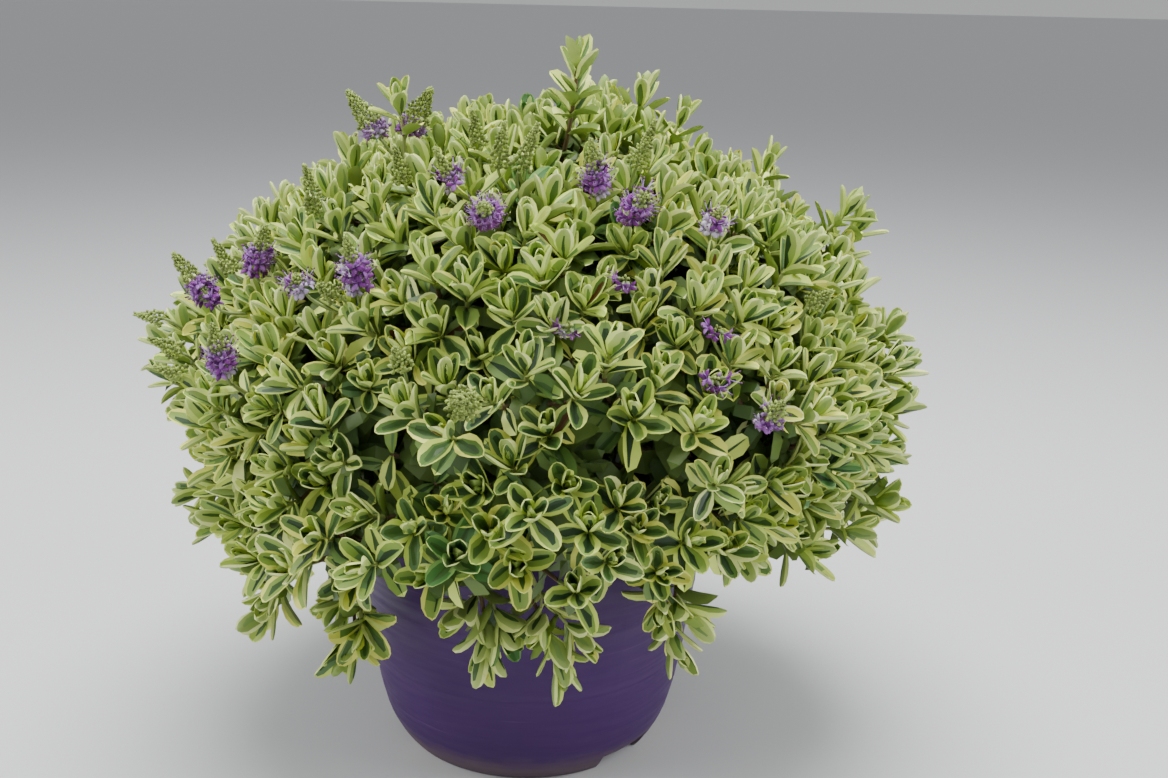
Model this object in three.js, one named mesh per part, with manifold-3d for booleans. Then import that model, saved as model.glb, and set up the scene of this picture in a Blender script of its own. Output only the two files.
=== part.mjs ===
// A hebe shrub in its pot: a rounded crown of leafy shoots with small racemes, carried on short
// woody boughs that fan out above the soil of a tapered plastic pot.
// Millimetres, +Z up. The origin is the centre of the pot's flat underside.

import * as THREE from 'three';
import { mergeVertices } from 'three/addons/utils/BufferGeometryUtils.js';
import Module from 'manifold-3d';

const wasm = await Module();
wasm.setup();

// ---------- Driving dimensions ----------

const GAP = 0.3; // left between neighbouring pieces
const SHORTEST_EDGE = 0.02; // joins and cuts leave no edge shorter than this
const CLEARANCE = 0.25; // how far a limb is grown before a later piece is cut by it

const POT_HEIGHT = 170;
const POT_FOOT_RADIUS = 88.8; // of the wall's line carried down to the ground
const POT_TAPER = 0.13; // radius gained per millimetre of height
const HEEL_DEPTH = 12.5; // how far the rounded heel draws in from that line
const HEEL_HEIGHT = 16; // height in which the heel fades to a third
const HEEL_STEPS = [4, 8, 13, 20, 30, 44, 64]; // heights at which the heel's curve is drawn
const HEEL_INSIDE = 30; // height of the one bend inside
const POT_WALL = 2;
const POT_FLOOR = 3;
const POT_SIDES = 44;
const RIM_DROP = 13; // height of the lip round the top
const RIM_DEPTH = 4.4; // how far the lip stands out
const FOOT_ROUND = 1.6; // bevel at the foot's outer edge
const FOOT_RING = 9; // width of the ring the pot stands on
const DRAIN_HEIGHT = 10; // depth of the groove inside the foot ring, and of its notches
const DRAIN_WIDTH = 34;
const DRAINS = 3;
const DRAIN_TURN = 77; // degrees from +X to the first notch
const FLOOR_PAD_RADIUS = 55; // the flat pad in the middle of the underside
const SOIL_TOP = 155;

const CROWN_CENTRE = new THREE.Vector3(6, 0, 221);
const CROWN_SIZE = new THREE.Vector3(214, 214, 168); // half width, half depth, half height
const CROWN_LOWEST = -0.5; // sine of the lowest shoots' elevation
const FRONT_LIFT = 0.5; // how much less low the crown hangs at its front
const SHOULDER = 0.03; // how much the crown draws in half way up
const BELLY = 0.2; // how much it swells half way down
const VALLEY = 0.05; // how much it draws in between two masses
const VALLEY_WIDTH = 0.12;
const RAGGED = 0.05; // spread of the shoots' reach
const LUMP_WIDTH = 0.045; // how widely a lump of the crown spreads

const STEM_HEIGHT = 31;
const STEM_RADIUS = 9;
const STEM_TOP_RADIUS = 7.5;
const STEM_FLARE = 6; // extra radius where it leaves the soil
const STEM_LEAN = new THREE.Vector3(3, -2, 0);
const BOUGH_RADIUS = 5.5;
const BRANCH_RADIUS = 4;
const LIMB_TIP_RADIUS = 3;

const SHOOTS = 105;
const SHOOT_ROOM = 18; // least room between a shoot's tip and the wall of its mass's space
const LEAF_LENGTH = 46;
const LEAF_WIDTH = 27;
const LEAF_THICKNESS = 2.8;
const LEAF_WIDEST = 0.58; // where along the leaf it is widest
const LEAF_ROOT = 0.4; // how far from the twig's axis a leaf's root lies, well inside the twig
const LEAF_TRIES = [1, 0.86, 0.72, 0.6]; // sizes tried in turn where a leaf has little room
const PAIR_LEANS = [32, 66, 74, 78]; // degrees between shoot and leaf, pair by pair from the tip
const PAIR_FIRST = 5.4; // from the tip back to the first pair of leaves
const PAIR_STEP = 13; // from one pair to the next
const TIP_INSET = 24; // from the crown's outline back to the end of a twig
const TWIG_RADIUS = 3;
const TWIG_TIP_RADIUS = 2.4;
const LIFT = 0.35; // how strongly shoots turn up towards the light
const CELL_MARGIN = 0.25; // kept clear inside the walls of a mass's own space
const CORE_DEPTH = 0.62; // where the core lies between the crown's centre and its outline
const CORE_INNER = 0.53; // the depths it keeps between
const CORE_OUTER = 0.7;
const CORE_SIZE = 0.34; // its largest radius as a share of the crown's size
const CORE_ROOM = 2.5; // kept clear of the walls of the mass's space
const RACEME_LENGTH = 52;
const RACEME_RADIUS = 12; // at its plumpest

const GOLDEN_ANGLE = Math.PI * (3 - Math.sqrt(5));

// The masses, ring by ring. elevation and first are degrees, limb is the share of the way from
// the crown's centre at which the limb ends, and fork is the share where the twigs part.
const RINGS = [
  { name: 'top', count: 1, elevation: 90, first: 0, limb: 0.46, fork: 0.6 },
  { name: 'upper', count: 6, elevation: 46, first: 20, limb: 0.46, fork: 0.6 },
  { name: 'side', count: 8, elevation: 8, first: 0, limb: 0.5, fork: 0.62 },
  { name: 'skirt', count: 6, elevation: -24, first: 12, limb: 0.5, fork: 0.62 },
];

// Where the crown grows further out or less far: azimuth, elevation and the change of reach.
const LUMPS = [
  { azimuth: -48, elevation: -20, swell: -0.12 },
  { azimuth: -22, elevation: -25, swell: -0.1 },
  { azimuth: -6, elevation: -12, swell: 0.06 },
  { azimuth: -160, elevation: -22, swell: -0.11 },
  { azimuth: -176, elevation: 4, swell: 0.09 },
];

// Shoots that stand out of the crown: azimuth, elevation, reach and pairs of leaves.
const LONG_SHOOTS = [
  { azimuth: -73, elevation: 75, reach: 1.1, pairs: 4 },
  { azimuth: -145, elevation: 63, reach: 1.06, pairs: 2 },
  { azimuth: 19, elevation: 74, reach: 0.96, pairs: 2 },
  { azimuth: -2, elevation: 52, reach: 0.94, pairs: 2 },
  { azimuth: -5, elevation: 37, reach: 0.98, pairs: 2 },
  { azimuth: -170, elevation: -23, reach: 0.98, pairs: 2 },
];

// Shoots that hang over the rim of the pot: azimuth, distance from the axis, lowest point.
const HANGING_SHOOTS = [
  { azimuth: -148, out: 170, low: 92 },
  { azimuth: -132, out: 142, low: 78 },
  { azimuth: -97, out: 141, low: 95 },
  { azimuth: -81, out: 147, low: 92 },
  { azimuth: -56, out: 150, low: 95 },
  { azimuth: -43, out: 160, low: 145 },
  { azimuth: 14, out: 160, low: 138 },
  { azimuth: 47, out: 150, low: 104 },
  { azimuth: 92, out: 168, low: 124 },
  { azimuth: 131, out: 150, low: 110 },
  { azimuth: 172, out: 176, low: 128 },
];

// The largest racemes as azimuth and elevation, those in flower at the front first.
const RACEMES = [
  [-148, 62], [-99, 46], [-72, 47], [-118, 33], [-144, 33], [-149, 23], [-137, 15], [-59, 13],
  [-59, 59], [-97, 15], [-40, 29], [20, 35], [70, 52], [100, 30], [150, 14], [165, 38],
];

// ---------- Small tools ----------

// A repeatable draw between 0 and 1.
function chance(n) {
  const value = Math.sin(n * 12.9898) * 43758.5453;
  return value - Math.floor(value);
}

function direction(azimuth, elevation) {
  const level = Math.cos(THREE.MathUtils.degToRad(elevation));
  const turn = THREE.MathUtils.degToRad(azimuth);
  const rise = Math.sin(THREE.MathUtils.degToRad(elevation));
  return new THREE.Vector3(level * Math.cos(turn), level * Math.sin(turn), rise);
}

function around(azimuth, radius, height) {
  const turn = THREE.MathUtils.degToRad(azimuth);
  return new THREE.Vector3(radius * Math.cos(turn), radius * Math.sin(turn), height);
}

// A closed geometry as a solid that can be joined and cut.
function solid(geometry) {
  geometry.deleteAttribute('normal');
  geometry.deleteAttribute('uv');
  const merged = mergeVertices(geometry, 1e-5);
  return new wasm.Manifold(new wasm.Mesh({
    numProp: 3,
    vertProperties: Float32Array.from(merged.attributes.position.array),
    triVerts: Uint32Array.from(merged.index.array),
  }));
}

// The largest body of a solid: loose scraps and the skins of sealed hollows are dropped, and so
// are edges too short to matter.
function largestBody(shape) {
  const bodies = shape.setTolerance(SHORTEST_EDGE).decompose();
  return bodies.reduce((best, body) => (body.volume() > best.volume() ? body : best));
}

function geometryOf(shape) {
  const mesh = shape.getMesh();
  const geometry = new THREE.BufferGeometry();
  geometry.setAttribute('position', new THREE.BufferAttribute(mesh.vertProperties, 3));
  geometry.setIndex(new THREE.BufferAttribute(mesh.triVerts, 1));
  geometry.computeVertexNormals();
  return geometry;
}

const plant = new THREE.Group();

function addNode(name, shape, finish) {
  const mesh = new THREE.Mesh(geometryOf(shape), finish);
  mesh.name = name;
  plant.add(mesh);
}

// ---------- Finishes ----------

const potPlastic = new THREE.MeshStandardMaterial({ color: 0x4a2c78, roughness: 0.5, metalness: 0 });
const compost = new THREE.MeshStandardMaterial({ color: 0x3a2c22, roughness: 0.95, metalness: 0 });
const bark = new THREE.MeshStandardMaterial({ color: 0x6d5a45, roughness: 0.85, metalness: 0 });
const leafage = new THREE.MeshStandardMaterial({ color: 0xa9b86a, roughness: 0.55, metalness: 0 });

// ---------- The pot and its soil ----------

function potRadius(height) {
  return POT_FOOT_RADIUS + POT_TAPER * height - HEEL_DEPTH * Math.exp(-height / HEEL_HEIGHT);
}

function lathe(profile, sides) {
  const points = profile.map(([radius, height]) => new THREE.Vector2(radius, height));
  return solid(new THREE.LatheGeometry(points, sides).rotateX(Math.PI / 2));
}

function drainNotch(index) {
  const notch = new THREE.BoxGeometry(FOOT_RING * 2.4, DRAIN_WIDTH, DRAIN_HEIGHT * 2);
  notch.translate(potRadius(0), 0, 0);
  notch.rotateZ(THREE.MathUtils.degToRad(DRAIN_TURN + (360 / DRAINS) * index));
  return solid(notch);
}

function buildPot() {
  const groove = potRadius(0) - FOOT_RING;
  const rimFoot = POT_HEIGHT - RIM_DROP;
  const rimRadius = potRadius(POT_HEIGHT) + RIM_DEPTH;
  const floorTop = DRAIN_HEIGHT + POT_FLOOR;
  let pot = lathe([
    [0, 0],
    [FLOOR_PAD_RADIUS, 0],
    [FLOOR_PAD_RADIUS + DRAIN_HEIGHT / 2, DRAIN_HEIGHT],
    [groove, DRAIN_HEIGHT],
    [groove, 0],
    [potRadius(0) - FOOT_ROUND, 0],
    ...[FOOT_ROUND, ...HEEL_STEPS, rimFoot].map((height) => [potRadius(height), height]),
    [rimRadius - 1, rimFoot + 1],
    [rimRadius, POT_HEIGHT - 1],
    [rimRadius - 1, POT_HEIGHT],
    ...[POT_HEIGHT, HEEL_INSIDE, floorTop].map((height) => [potRadius(height) - POT_WALL, height]),
    [0, floorTop],
  ], POT_SIDES);
  for (let i = 0; i < DRAINS; i += 1) {
    pot = pot.subtract(drainNotch(i));
  }
  addNode('pot', pot, potPlastic);
}

function buildSoil() {
  const low = DRAIN_HEIGHT + POT_FLOOR + GAP;
  const inset = POT_WALL + GAP * 1.5;
  const soil = lathe([
    [0, low],
    ...[low, HEEL_INSIDE, SOIL_TOP].map((height) => [potRadius(height) - inset, height]),
    [0, SOIL_TOP],
  ], POT_SIDES);
  addNode('soil', soil, compost);
}

// ---------- Limbs ----------

// A cylinder bent along a curve, with its radius set by a rule of the way along it.
function tube(curve, radiusAt, sides, rings) {
  const geometry = new THREE.CylinderGeometry(1, 1, 1, sides, rings);
  const frames = curve.computeFrenetFrames(rings);
  const place = geometry.attributes.position;
  const point = new THREE.Vector3();
  for (let i = 0; i < place.count; i += 1) {
    const along = place.getY(i) + 0.5;
    const ring = Math.round(along * rings);
    const radius = radiusAt(along);
    point.copy(curve.getPointAt(along));
    point.addScaledVector(frames.normals[ring], radius * place.getX(i));
    point.addScaledVector(frames.binormals[ring], -radius * place.getZ(i));
    place.setXYZ(i, point.x, point.y, point.z);
  }
  return solid(geometry);
}

const limbs = [];

function limbShape(limb, extra) {
  const { curve, rootRadius, tipRadius, flare, sides, rings } = limb;
  const start = curve.getPointAt(0).addScaledVector(curve.getTangentAt(0), -extra);
  const end = curve.getPointAt(1).addScaledVector(curve.getTangentAt(1), extra);
  const longer = new THREE.QuadraticBezierCurve3(start, curve.v1, end);
  const radiusAt = (t) => THREE.MathUtils.lerp(rootRadius, tipRadius, t) + flare * Math.exp(-6 * t) + extra;
  return tube(longer, radiusAt, sides, rings);
}

// Each limb is cut clear of the limbs made before it, so a fork is a flush seat with a fine gap.
function buildLimb(name, start, bend, end, rootRadius, tipRadius, flare = 0, sides = 6, rings = 3) {
  const curve = new THREE.QuadraticBezierCurve3(start, bend, end);
  const limb = { curve, rootRadius, tipRadius, flare, sides, rings };
  let shape = limbShape(limb, 0);
  for (const earlier of limbs) {
    shape = shape.subtract(limbShape(earlier, CLEARANCE));
  }
  limbs.push(limb);
  addNode(name, largestBody(shape), bark);
  return limb;
}

// ---------- The crown's rule ----------

function crownPoint(way, reach) {
  return way.clone().multiply(CROWN_SIZE).multiplyScalar(reach).add(CROWN_CENTRE);
}

// The crown hangs less low at its front, so ways below the level are turned up there.
function hang(way) {
  const facing = way.y / Math.hypot(way.x, way.y, 1e-9);
  if (way.z < 0 && facing < 0) {
    way.z *= 1 - FRONT_LIFT * facing ** 2;
  }
  return way.normalize();
}

const masses = [];
for (const ring of RINGS) {
  for (let i = 0; i < ring.count; i += 1) {
    const azimuth = ring.first + (360 / ring.count) * i + 10 * (chance(3 * i + ring.elevation) - 0.5);
    const elevation = ring.elevation === 90 ? 90 : ring.elevation + 6 * (chance(i + ring.elevation) - 0.5);
    const way = hang(direction(azimuth, elevation));
    const label = ring.count === 1 ? ring.name : `${ring.name}_${i + 1}`;
    masses.push({ ring, label, azimuth, way, shoots: [], racemes: [], pieces: [] });
  }
}

// The wall between two masses is the plane half way between them in the crown's own proportions.
for (const mass of masses) {
  mass.walls = masses.filter((other) => other !== mass).map((other) => {
    const across = mass.way.clone().sub(other.way).divide(CROWN_SIZE);
    return across.normalize();
  });
}

function inCell(mass, point, margin) {
  const offset = point.clone().sub(CROWN_CENTRE);
  return mass.walls.every((wall) => wall.dot(offset) > margin);
}

function nearestMasses(way) {
  return [...masses].sort((a, b) => b.way.dot(way) - a.way.dot(way));
}

// How far the crown reaches in a direction: drawn in at the shoulder and between two masses, swollen
// at the belly, and uneven with its lumps.
function crownReach(way, seed) {
  const [nearest, next] = nearestMasses(way);
  const edge = Math.min(1, (nearest.way.dot(way) - next.way.dot(way)) / VALLEY_WIDTH);
  const slope = Math.sin(2 * Math.asin(way.z)) ** 2;
  const swell = way.z > 0 ? -SHOULDER * slope : BELLY * slope;
  const lumps = LUMPS.reduce((sum, lump) => {
    const apart = 1 - direction(lump.azimuth, lump.elevation).dot(way);
    return sum + lump.swell * Math.exp(-apart / LUMP_WIDTH);
  }, 0);
  return 1 + swell + lumps - VALLEY * (1 - edge) + RAGGED * (chance(seed) - 0.5);
}

// The way a shoot grows: square to the crown's outline, turned up a little.
function growth(way) {
  const out = way.clone().divide(CROWN_SIZE).normalize();
  out.z += LIFT;
  return out.normalize();
}

// The shoots' tips wind evenly round the crown, each moved in from the wall of its mass's space
// until its leaves have room.
for (let i = 0; i < SHOOTS; i += 1) {
  const rise = 1 - ((i + 0.5) / SHOOTS) * (1 - CROWN_LOWEST);
  const level = Math.sqrt(1 - rise * rise);
  const turn = GOLDEN_ANGLE * i;
  const way = hang(new THREE.Vector3(level * Math.cos(turn), level * Math.sin(turn), rise));
  const mass = nearestMasses(way)[0];
  while (!inCell(mass, crownPoint(way, 1), SHOOT_ROOM)) {
    way.lerp(mass.way, 0.05).normalize();
  }
  const grow = growth(way);
  const tip = crownPoint(way, crownReach(way, i)).addScaledVector(grow, -TIP_INSET);
  mass.shoots.push({ tip, grow, pairs: 2, seed: i });
}

LONG_SHOOTS.forEach(({ azimuth, elevation, reach, pairs }, i) => {
  const way = direction(azimuth, elevation);
  const grow = growth(way);
  const tip = crownPoint(way, reach).addScaledVector(grow, -TIP_INSET / 2);
  nearestMasses(way)[0].shoots.push({ tip, grow, pairs, seed: 500 + i });
});

HANGING_SHOOTS.forEach(({ azimuth, out, low }, i) => {
  const tip = around(azimuth, out, low + TIP_INSET);
  const grow = around(azimuth, 0.35, -1).normalize();
  const skirt = masses.filter((mass) => mass.ring.name === 'skirt' && inCell(mass, tip, TWIG_RADIUS));
  skirt.forEach((mass) => mass.shoots.push({ tip, grow, pairs: 3, seed: 600 + i }));
});

RACEMES.forEach(([azimuth, elevation]) => {
  const way = direction(azimuth, elevation);
  nearestMasses(way)[0].racemes.push(way);
});

// ---------- What a mass is made of ----------

function clearOfLimbs(point, room) {
  return limbs.every(({ curve, rootRadius }) => {
    const nearest = Math.min(...curve.getPoints(10).map((other) => other.distanceTo(point)));
    return nearest > rootRadius + room;
  });
}

function clearOfPot(point, room) {
  const outside = Math.hypot(point.x, point.y) > potRadius(point.z) + RIM_DEPTH + room;
  return point.z > POT_HEIGHT + room || outside;
}

function fits(mass, points, room) {
  return points.every((point) => inCell(mass, point, CELL_MARGIN + room) && clearOfPot(point, 1 + room)
    && clearOfLimbs(point, 1 + room));
}

// A leaf: an octahedron drawn out along its way, widest past the middle, its root inside the twig.
function leafGeometry(root, way, up, length) {
  const side = up.clone().cross(way);
  const size = length / LEAF_LENGTH;
  const geometry = new THREE.OctahedronGeometry(1);
  const place = geometry.attributes.position;
  const point = new THREE.Vector3();
  for (let i = 0; i < place.count; i += 1) {
    const x = place.getX(i);
    const along = Math.abs(x) < 0.5 ? LEAF_WIDEST * length : ((x + 1) / 2) * length;
    point.copy(root);
    point.addScaledVector(way, along + LEAF_ROOT);
    point.addScaledVector(side, (place.getY(i) * LEAF_WIDTH * size) / 2);
    point.addScaledVector(up, (place.getZ(i) * LEAF_THICKNESS * size) / 2);
    place.setXYZ(i, point.x, point.y, point.z);
  }
  return geometry;
}

function corners(geometry) {
  const place = geometry.attributes.position;
  const points = [];
  for (let i = 0; i < place.count; i += 1) {
    points.push(new THREE.Vector3().fromBufferAttribute(place, i));
  }
  const middle = points.reduce((sum, point) => sum.add(point), new THREE.Vector3());
  points.push(middle.divideScalar(place.count));
  return points;
}

// A piece joins its mass unless it would cross a piece that another shoot owns.
function addPiece(mass, shape, owner) {
  const crosses = (other) => other.owner !== owner && !other.shape.intersect(shape).isEmpty();
  if (mass.pieces.some(crosses)) {
    return false;
  }
  mass.pieces.push({ shape, owner });
  return true;
}

// A twig bends out of the fork into the way its shoot grows. Where it would leave the mass's
// space or touch the pot or a limb, it is left out.
function addTwig(mass, fork, shoot) {
  const reachBack = Math.min(50, shoot.tip.distanceTo(fork) / 2);
  let bend = shoot.tip.clone().addScaledVector(shoot.grow, -reachBack);
  if (!inCell(mass, bend, TWIG_RADIUS)) {
    bend = shoot.tip.clone().lerp(fork, 0.5);
  }
  const curve = new THREE.QuadraticBezierCurve3(fork, bend, shoot.tip);
  if (!fits(mass, curve.getPoints(8).slice(2), TWIG_RADIUS)) {
    return false;
  }
  const rings = shoot.pairs > 2 ? 3 : 1;
  const radiusAt = (t) => THREE.MathUtils.lerp(TWIG_RADIUS, TWIG_TIP_RADIUS, t);
  shoot.back = curve.getPointAt(1 - 1 / rings).sub(shoot.tip).normalize();
  mass.pieces.push({ shape: tube(curve, radiusAt, 3, rings), owner: shoot });
  return true;
}

// One leaf, tried at several sizes, kept at the first that lies free inside the mass's space.
function addLeaf(mass, shoot, root, lean, turn, length) {
  const across = new THREE.Vector3(-shoot.grow.y, shoot.grow.x, 0);
  const level = across.length() < 0.1 ? new THREE.Vector3(1, 0, 0) : across.normalize();
  const out = level.applyAxisAngle(shoot.grow, turn);
  const way = shoot.grow.clone().multiplyScalar(Math.cos(lean)).addScaledVector(out, Math.sin(lean));
  const up = shoot.grow.clone().addScaledVector(way, -shoot.grow.dot(way)).normalize();
  for (const share of LEAF_TRIES) {
    const leaf = leafGeometry(root, way, up, length * share);
    if (fits(mass, corners(leaf), 0) && addPiece(mass, solid(leaf), shoot)) {
      return;
    }
  }
}

// Opposite pairs of leaves down a shoot from its tip, each pair turned across the last. A raceme
// takes the place of the first pair.
function addLeaves(mass, shoot) {
  for (let pair = shoot.spike ? 1 : 0; pair < shoot.pairs; pair += 1) {
    const lean = THREE.MathUtils.degToRad(PAIR_LEANS[pair]);
    const root = shoot.tip.clone().addScaledVector(shoot.back, PAIR_FIRST + PAIR_STEP * pair);
    for (let half = 0; half < 2; half += 1) {
      const turn = Math.PI * half + (Math.PI / 2) * pair + 3 * chance(shoot.seed + 40);
      const length = LEAF_LENGTH * (0.92 + 0.16 * chance(shoot.seed * 7 + pair * 2 + half));
      addLeaf(mass, shoot, root, lean, turn, length);
    }
  }
}

// A raceme: a plump tapering spike on the shoot nearest to its place.
function addRaceme(mass, way) {
  const top = crownPoint(way, 1.02);
  const byDistance = [...mass.shoots].sort((a, b) => a.tip.distanceTo(top) - b.tip.distanceTo(top));
  const host = byDistance[0];
  const root = host.tip.clone().addScaledVector(host.back, 1.5);
  const wayUp = top.addScaledVector(growth(way), 8).sub(root);
  const end = root.clone().addScaledVector(wayUp.normalize(), RACEME_LENGTH);
  const radiusAt = (t) => 1.5 + RACEME_RADIUS * Math.sin(Math.PI * 0.93 * t ** 0.8);
  const spike = tube(new THREE.LineCurve3(root, end), radiusAt, 5, 3);
  const roomy = fits(mass, [root, end, root.clone().lerp(end, 0.5)], RACEME_RADIUS / 2);
  if (roomy && !host.spike && addPiece(mass, spike, host)) {
    host.spike = mass.pieces.at(-1);
    host.spike.owner = 'raceme';
  }
}

// The core swells from its centre to the walls of the mass's own space, inside the leaves and
// above the pot's rim.
function addCore(mass) {
  const core = new THREE.IcosahedronGeometry(1);
  const centre = crownPoint(mass.way, CORE_DEPTH);
  const place = core.attributes.position;
  const spoke = new THREE.Vector3();
  const point = new THREE.Vector3();
  const withinCore = () => {
    const depth = point.clone().sub(CROWN_CENTRE).divide(CROWN_SIZE).length();
    return depth > CORE_INNER && depth < CORE_OUTER && inCell(mass, point, CORE_ROOM)
      && point.z > POT_HEIGHT + 1;
  };
  for (let i = 0; i < place.count; i += 1) {
    spoke.fromBufferAttribute(place, i).multiply(CROWN_SIZE);
    let size = CORE_SIZE;
    do {
      point.copy(centre).addScaledVector(spoke, size);
      size *= 0.96;
    } while (!withinCore());
    place.setXYZ(i, point.x, point.y, point.z);
  }
  mass.pieces.push({ shape: solid(core), owner: 'core' });
}

function buildMass(mass) {
  const start = mass.limb.curve.getPointAt(1);
  const along = mass.limb.curve.getTangentAt(1);
  const fork = crownPoint(mass.way, mass.ring.fork);
  const root = start.clone().addScaledVector(along, GAP);
  const bend = root.clone().addScaledVector(along, root.distanceTo(fork) / 2);
  const stemCurve = new THREE.QuadraticBezierCurve3(root, bend, fork);
  mass.pieces.push({ shape: tube(stemCurve, () => LIMB_TIP_RADIUS, 5, 1), owner: 'stem' });
  addCore(mass);
  mass.shoots = mass.shoots.filter((shoot) => addTwig(mass, fork, shoot));
  mass.racemes.forEach((way) => addRaceme(mass, way));
  mass.shoots.forEach((shoot) => addLeaves(mass, shoot));
  const joined = wasm.Manifold.union(mass.pieces.map(({ shape }) => shape));
  addNode(`foliage_${mass.label}`, largestBody(joined), leafage);
}

// ---------- Assembly ----------

buildPot();
buildSoil();

const soilTop = new THREE.Vector3(0, 0, SOIL_TOP + GAP);
const stemTop = soilTop.clone().add(STEM_LEAN).add(new THREE.Vector3(0, 0, STEM_HEIGHT));
const stemBend = soilTop.clone().add(new THREE.Vector3(0, 0, STEM_HEIGHT / 2));
buildLimb('stem', soilTop, stemBend, stemTop, STEM_RADIUS, STEM_TOP_RADIUS, STEM_FLARE, 10, 5);

// The leader stands on the stem's top, and the other boughs leave its side one above another.
const boughs = [];
for (const mass of masses.filter(({ ring }) => ring.name === 'top' || ring.name === 'upper')) {
  const leader = mass.ring.name === 'top';
  const start = leader
    ? stemTop.clone().add(new THREE.Vector3(0, 0, GAP))
    : soilTop.clone().lerp(stemTop, 0.55 + 0.06 * boughs.length);
  const end = crownPoint(mass.way, mass.ring.limb);
  const bend = start.clone().lerp(end, 0.5);
  bend.add(around(mass.azimuth, leader ? 3 : 9, leader ? 0 : -7));
  const name = leader ? 'bough_centre' : `bough_${boughs.length}`;
  mass.limb = buildLimb(name, start, bend, end, BOUGH_RADIUS, LIMB_TIP_RADIUS);
  boughs.push({ azimuth: mass.azimuth, limb: mass.limb, branches: 0 });
}

// Every other mass hangs on a branch from the bough that grows nearest to its way.
for (const mass of masses.filter(({ limb }) => limb === undefined)) {
  const turnTo = ({ azimuth }) => 1 - Math.cos(THREE.MathUtils.degToRad(azimuth - mass.azimuth));
  const bough = boughs.slice(1).sort((a, b) => turnTo(a) - turnTo(b))[0];
  const low = mass.ring.name === 'skirt';
  const start = bough.limb.curve.getPointAt(low ? 0.24 : 0.46 + 0.14 * bough.branches);
  const end = crownPoint(mass.way, mass.ring.limb);
  const bend = start.clone().lerp(end, 0.5).add(new THREE.Vector3(0, 0, low ? 6 : 4));
  mass.limb = buildLimb(`branch_${mass.label}`, start, bend, end, BRANCH_RADIUS, LIMB_TIP_RADIUS);
  bough.branches += low ? 0 : 1;
}

masses.forEach(buildMass);

export default plant;
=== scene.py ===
"""A potted hebe shrub: whorls of cream-edged leaves and violet spikes on short woody boughs, in a purple pot.

The crown repeats the rule of the solids it is dressed over: masses round the crown's centre, each in
its own space, a fork in each mass, twigs from the fork, and shoots whose tips wind evenly round the
crown. Here the same twigs part again into finer shoots with leaves and flowers of life size.
Lengths in the rule are millimetres, and meshes are built in metres.
"""

import math

import bpy
import numpy as np
from bpy.props import FloatProperty, FloatVectorProperty, IntProperty, PointerProperty
from mathutils import Matrix, Vector


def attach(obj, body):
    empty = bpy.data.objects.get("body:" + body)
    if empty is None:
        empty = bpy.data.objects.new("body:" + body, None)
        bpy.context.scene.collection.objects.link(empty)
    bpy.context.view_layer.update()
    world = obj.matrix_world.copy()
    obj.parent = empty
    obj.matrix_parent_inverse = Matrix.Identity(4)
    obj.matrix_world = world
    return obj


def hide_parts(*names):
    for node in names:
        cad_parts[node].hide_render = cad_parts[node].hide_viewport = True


bl_info = {
    "name": "Potted Hebe Shrub",
    "version": (1, 0, 0),
    "blender": (4, 5, 0),
    "location": "3D View > Sidebar > Shrub",
    "description": "Dresses a potted hebe shrub with its leaves, flower spikes, bark, compost and pot",
    "category": "Object",
}

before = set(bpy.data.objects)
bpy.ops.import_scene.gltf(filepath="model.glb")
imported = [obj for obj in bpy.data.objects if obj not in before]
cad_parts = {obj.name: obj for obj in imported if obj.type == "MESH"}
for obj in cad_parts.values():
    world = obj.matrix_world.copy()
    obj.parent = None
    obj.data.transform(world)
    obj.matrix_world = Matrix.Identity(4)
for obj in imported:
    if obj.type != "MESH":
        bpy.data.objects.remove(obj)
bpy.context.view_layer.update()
BODY = "root"
MM = 0.001

# ---------- The plant's sizes, in millimetres ----------

POT_HEIGHT = 170.0
POT_FOOT_RADIUS = 88.8
POT_TAPER = 0.13
HEEL_DEPTH = 12.5
HEEL_HEIGHT = 16.0
POT_WALL = 2.0
POT_FLOOR = 13.0
RIM_DROP = 13.0
RIM_DEPTH = 4.4
FOOT_RING = 9.0
FLOOR_PAD_RADIUS = 55.0
DRAIN_HEIGHT = 10.0
DRAIN_WIDTH = 34.0
DRAINS = 3
DRAIN_TURN = 77.0
SOIL_TOP = 155.0
BEADS = (60.0, 100.0)  # heights of two faint raised rings round the pot

CROWN_CENTRE = np.array([6.0, 0.0, 221.0])
CROWN_SIZE = np.array([214.0, 214.0, 168.0])
CROWN_LOWEST = -0.5  # the lowest height on the unit crown where shoots end
FRONT_LIFT = 0.5  # how much less low the crown hangs at its front
SHOULDER = 0.03  # how far the crown draws in above its middle, and swells below it
BELLY = 0.2
VALLEY = 0.05  # how deep and how wide it draws in between two masses
VALLEY_WIDTH = 0.12
RAGGED = 0.05  # how uneven its reach is
LUMP_WIDTH = 0.045
LIFT = 0.35  # how far growing shoots turn up

STEM_HEIGHT = 31.0
STEM_RADIUS = 9.0
STEM_TOP_RADIUS = 7.5
STEM_FLARE = 6.0
STEM_LEAN = np.array([3.0, -2.0, 0.0])
BOUGH_RADIUS = 5.5
BRANCH_RADIUS = 4.0
LIMB_TIP_RADIUS = 3.0
GAP = 0.3

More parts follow.
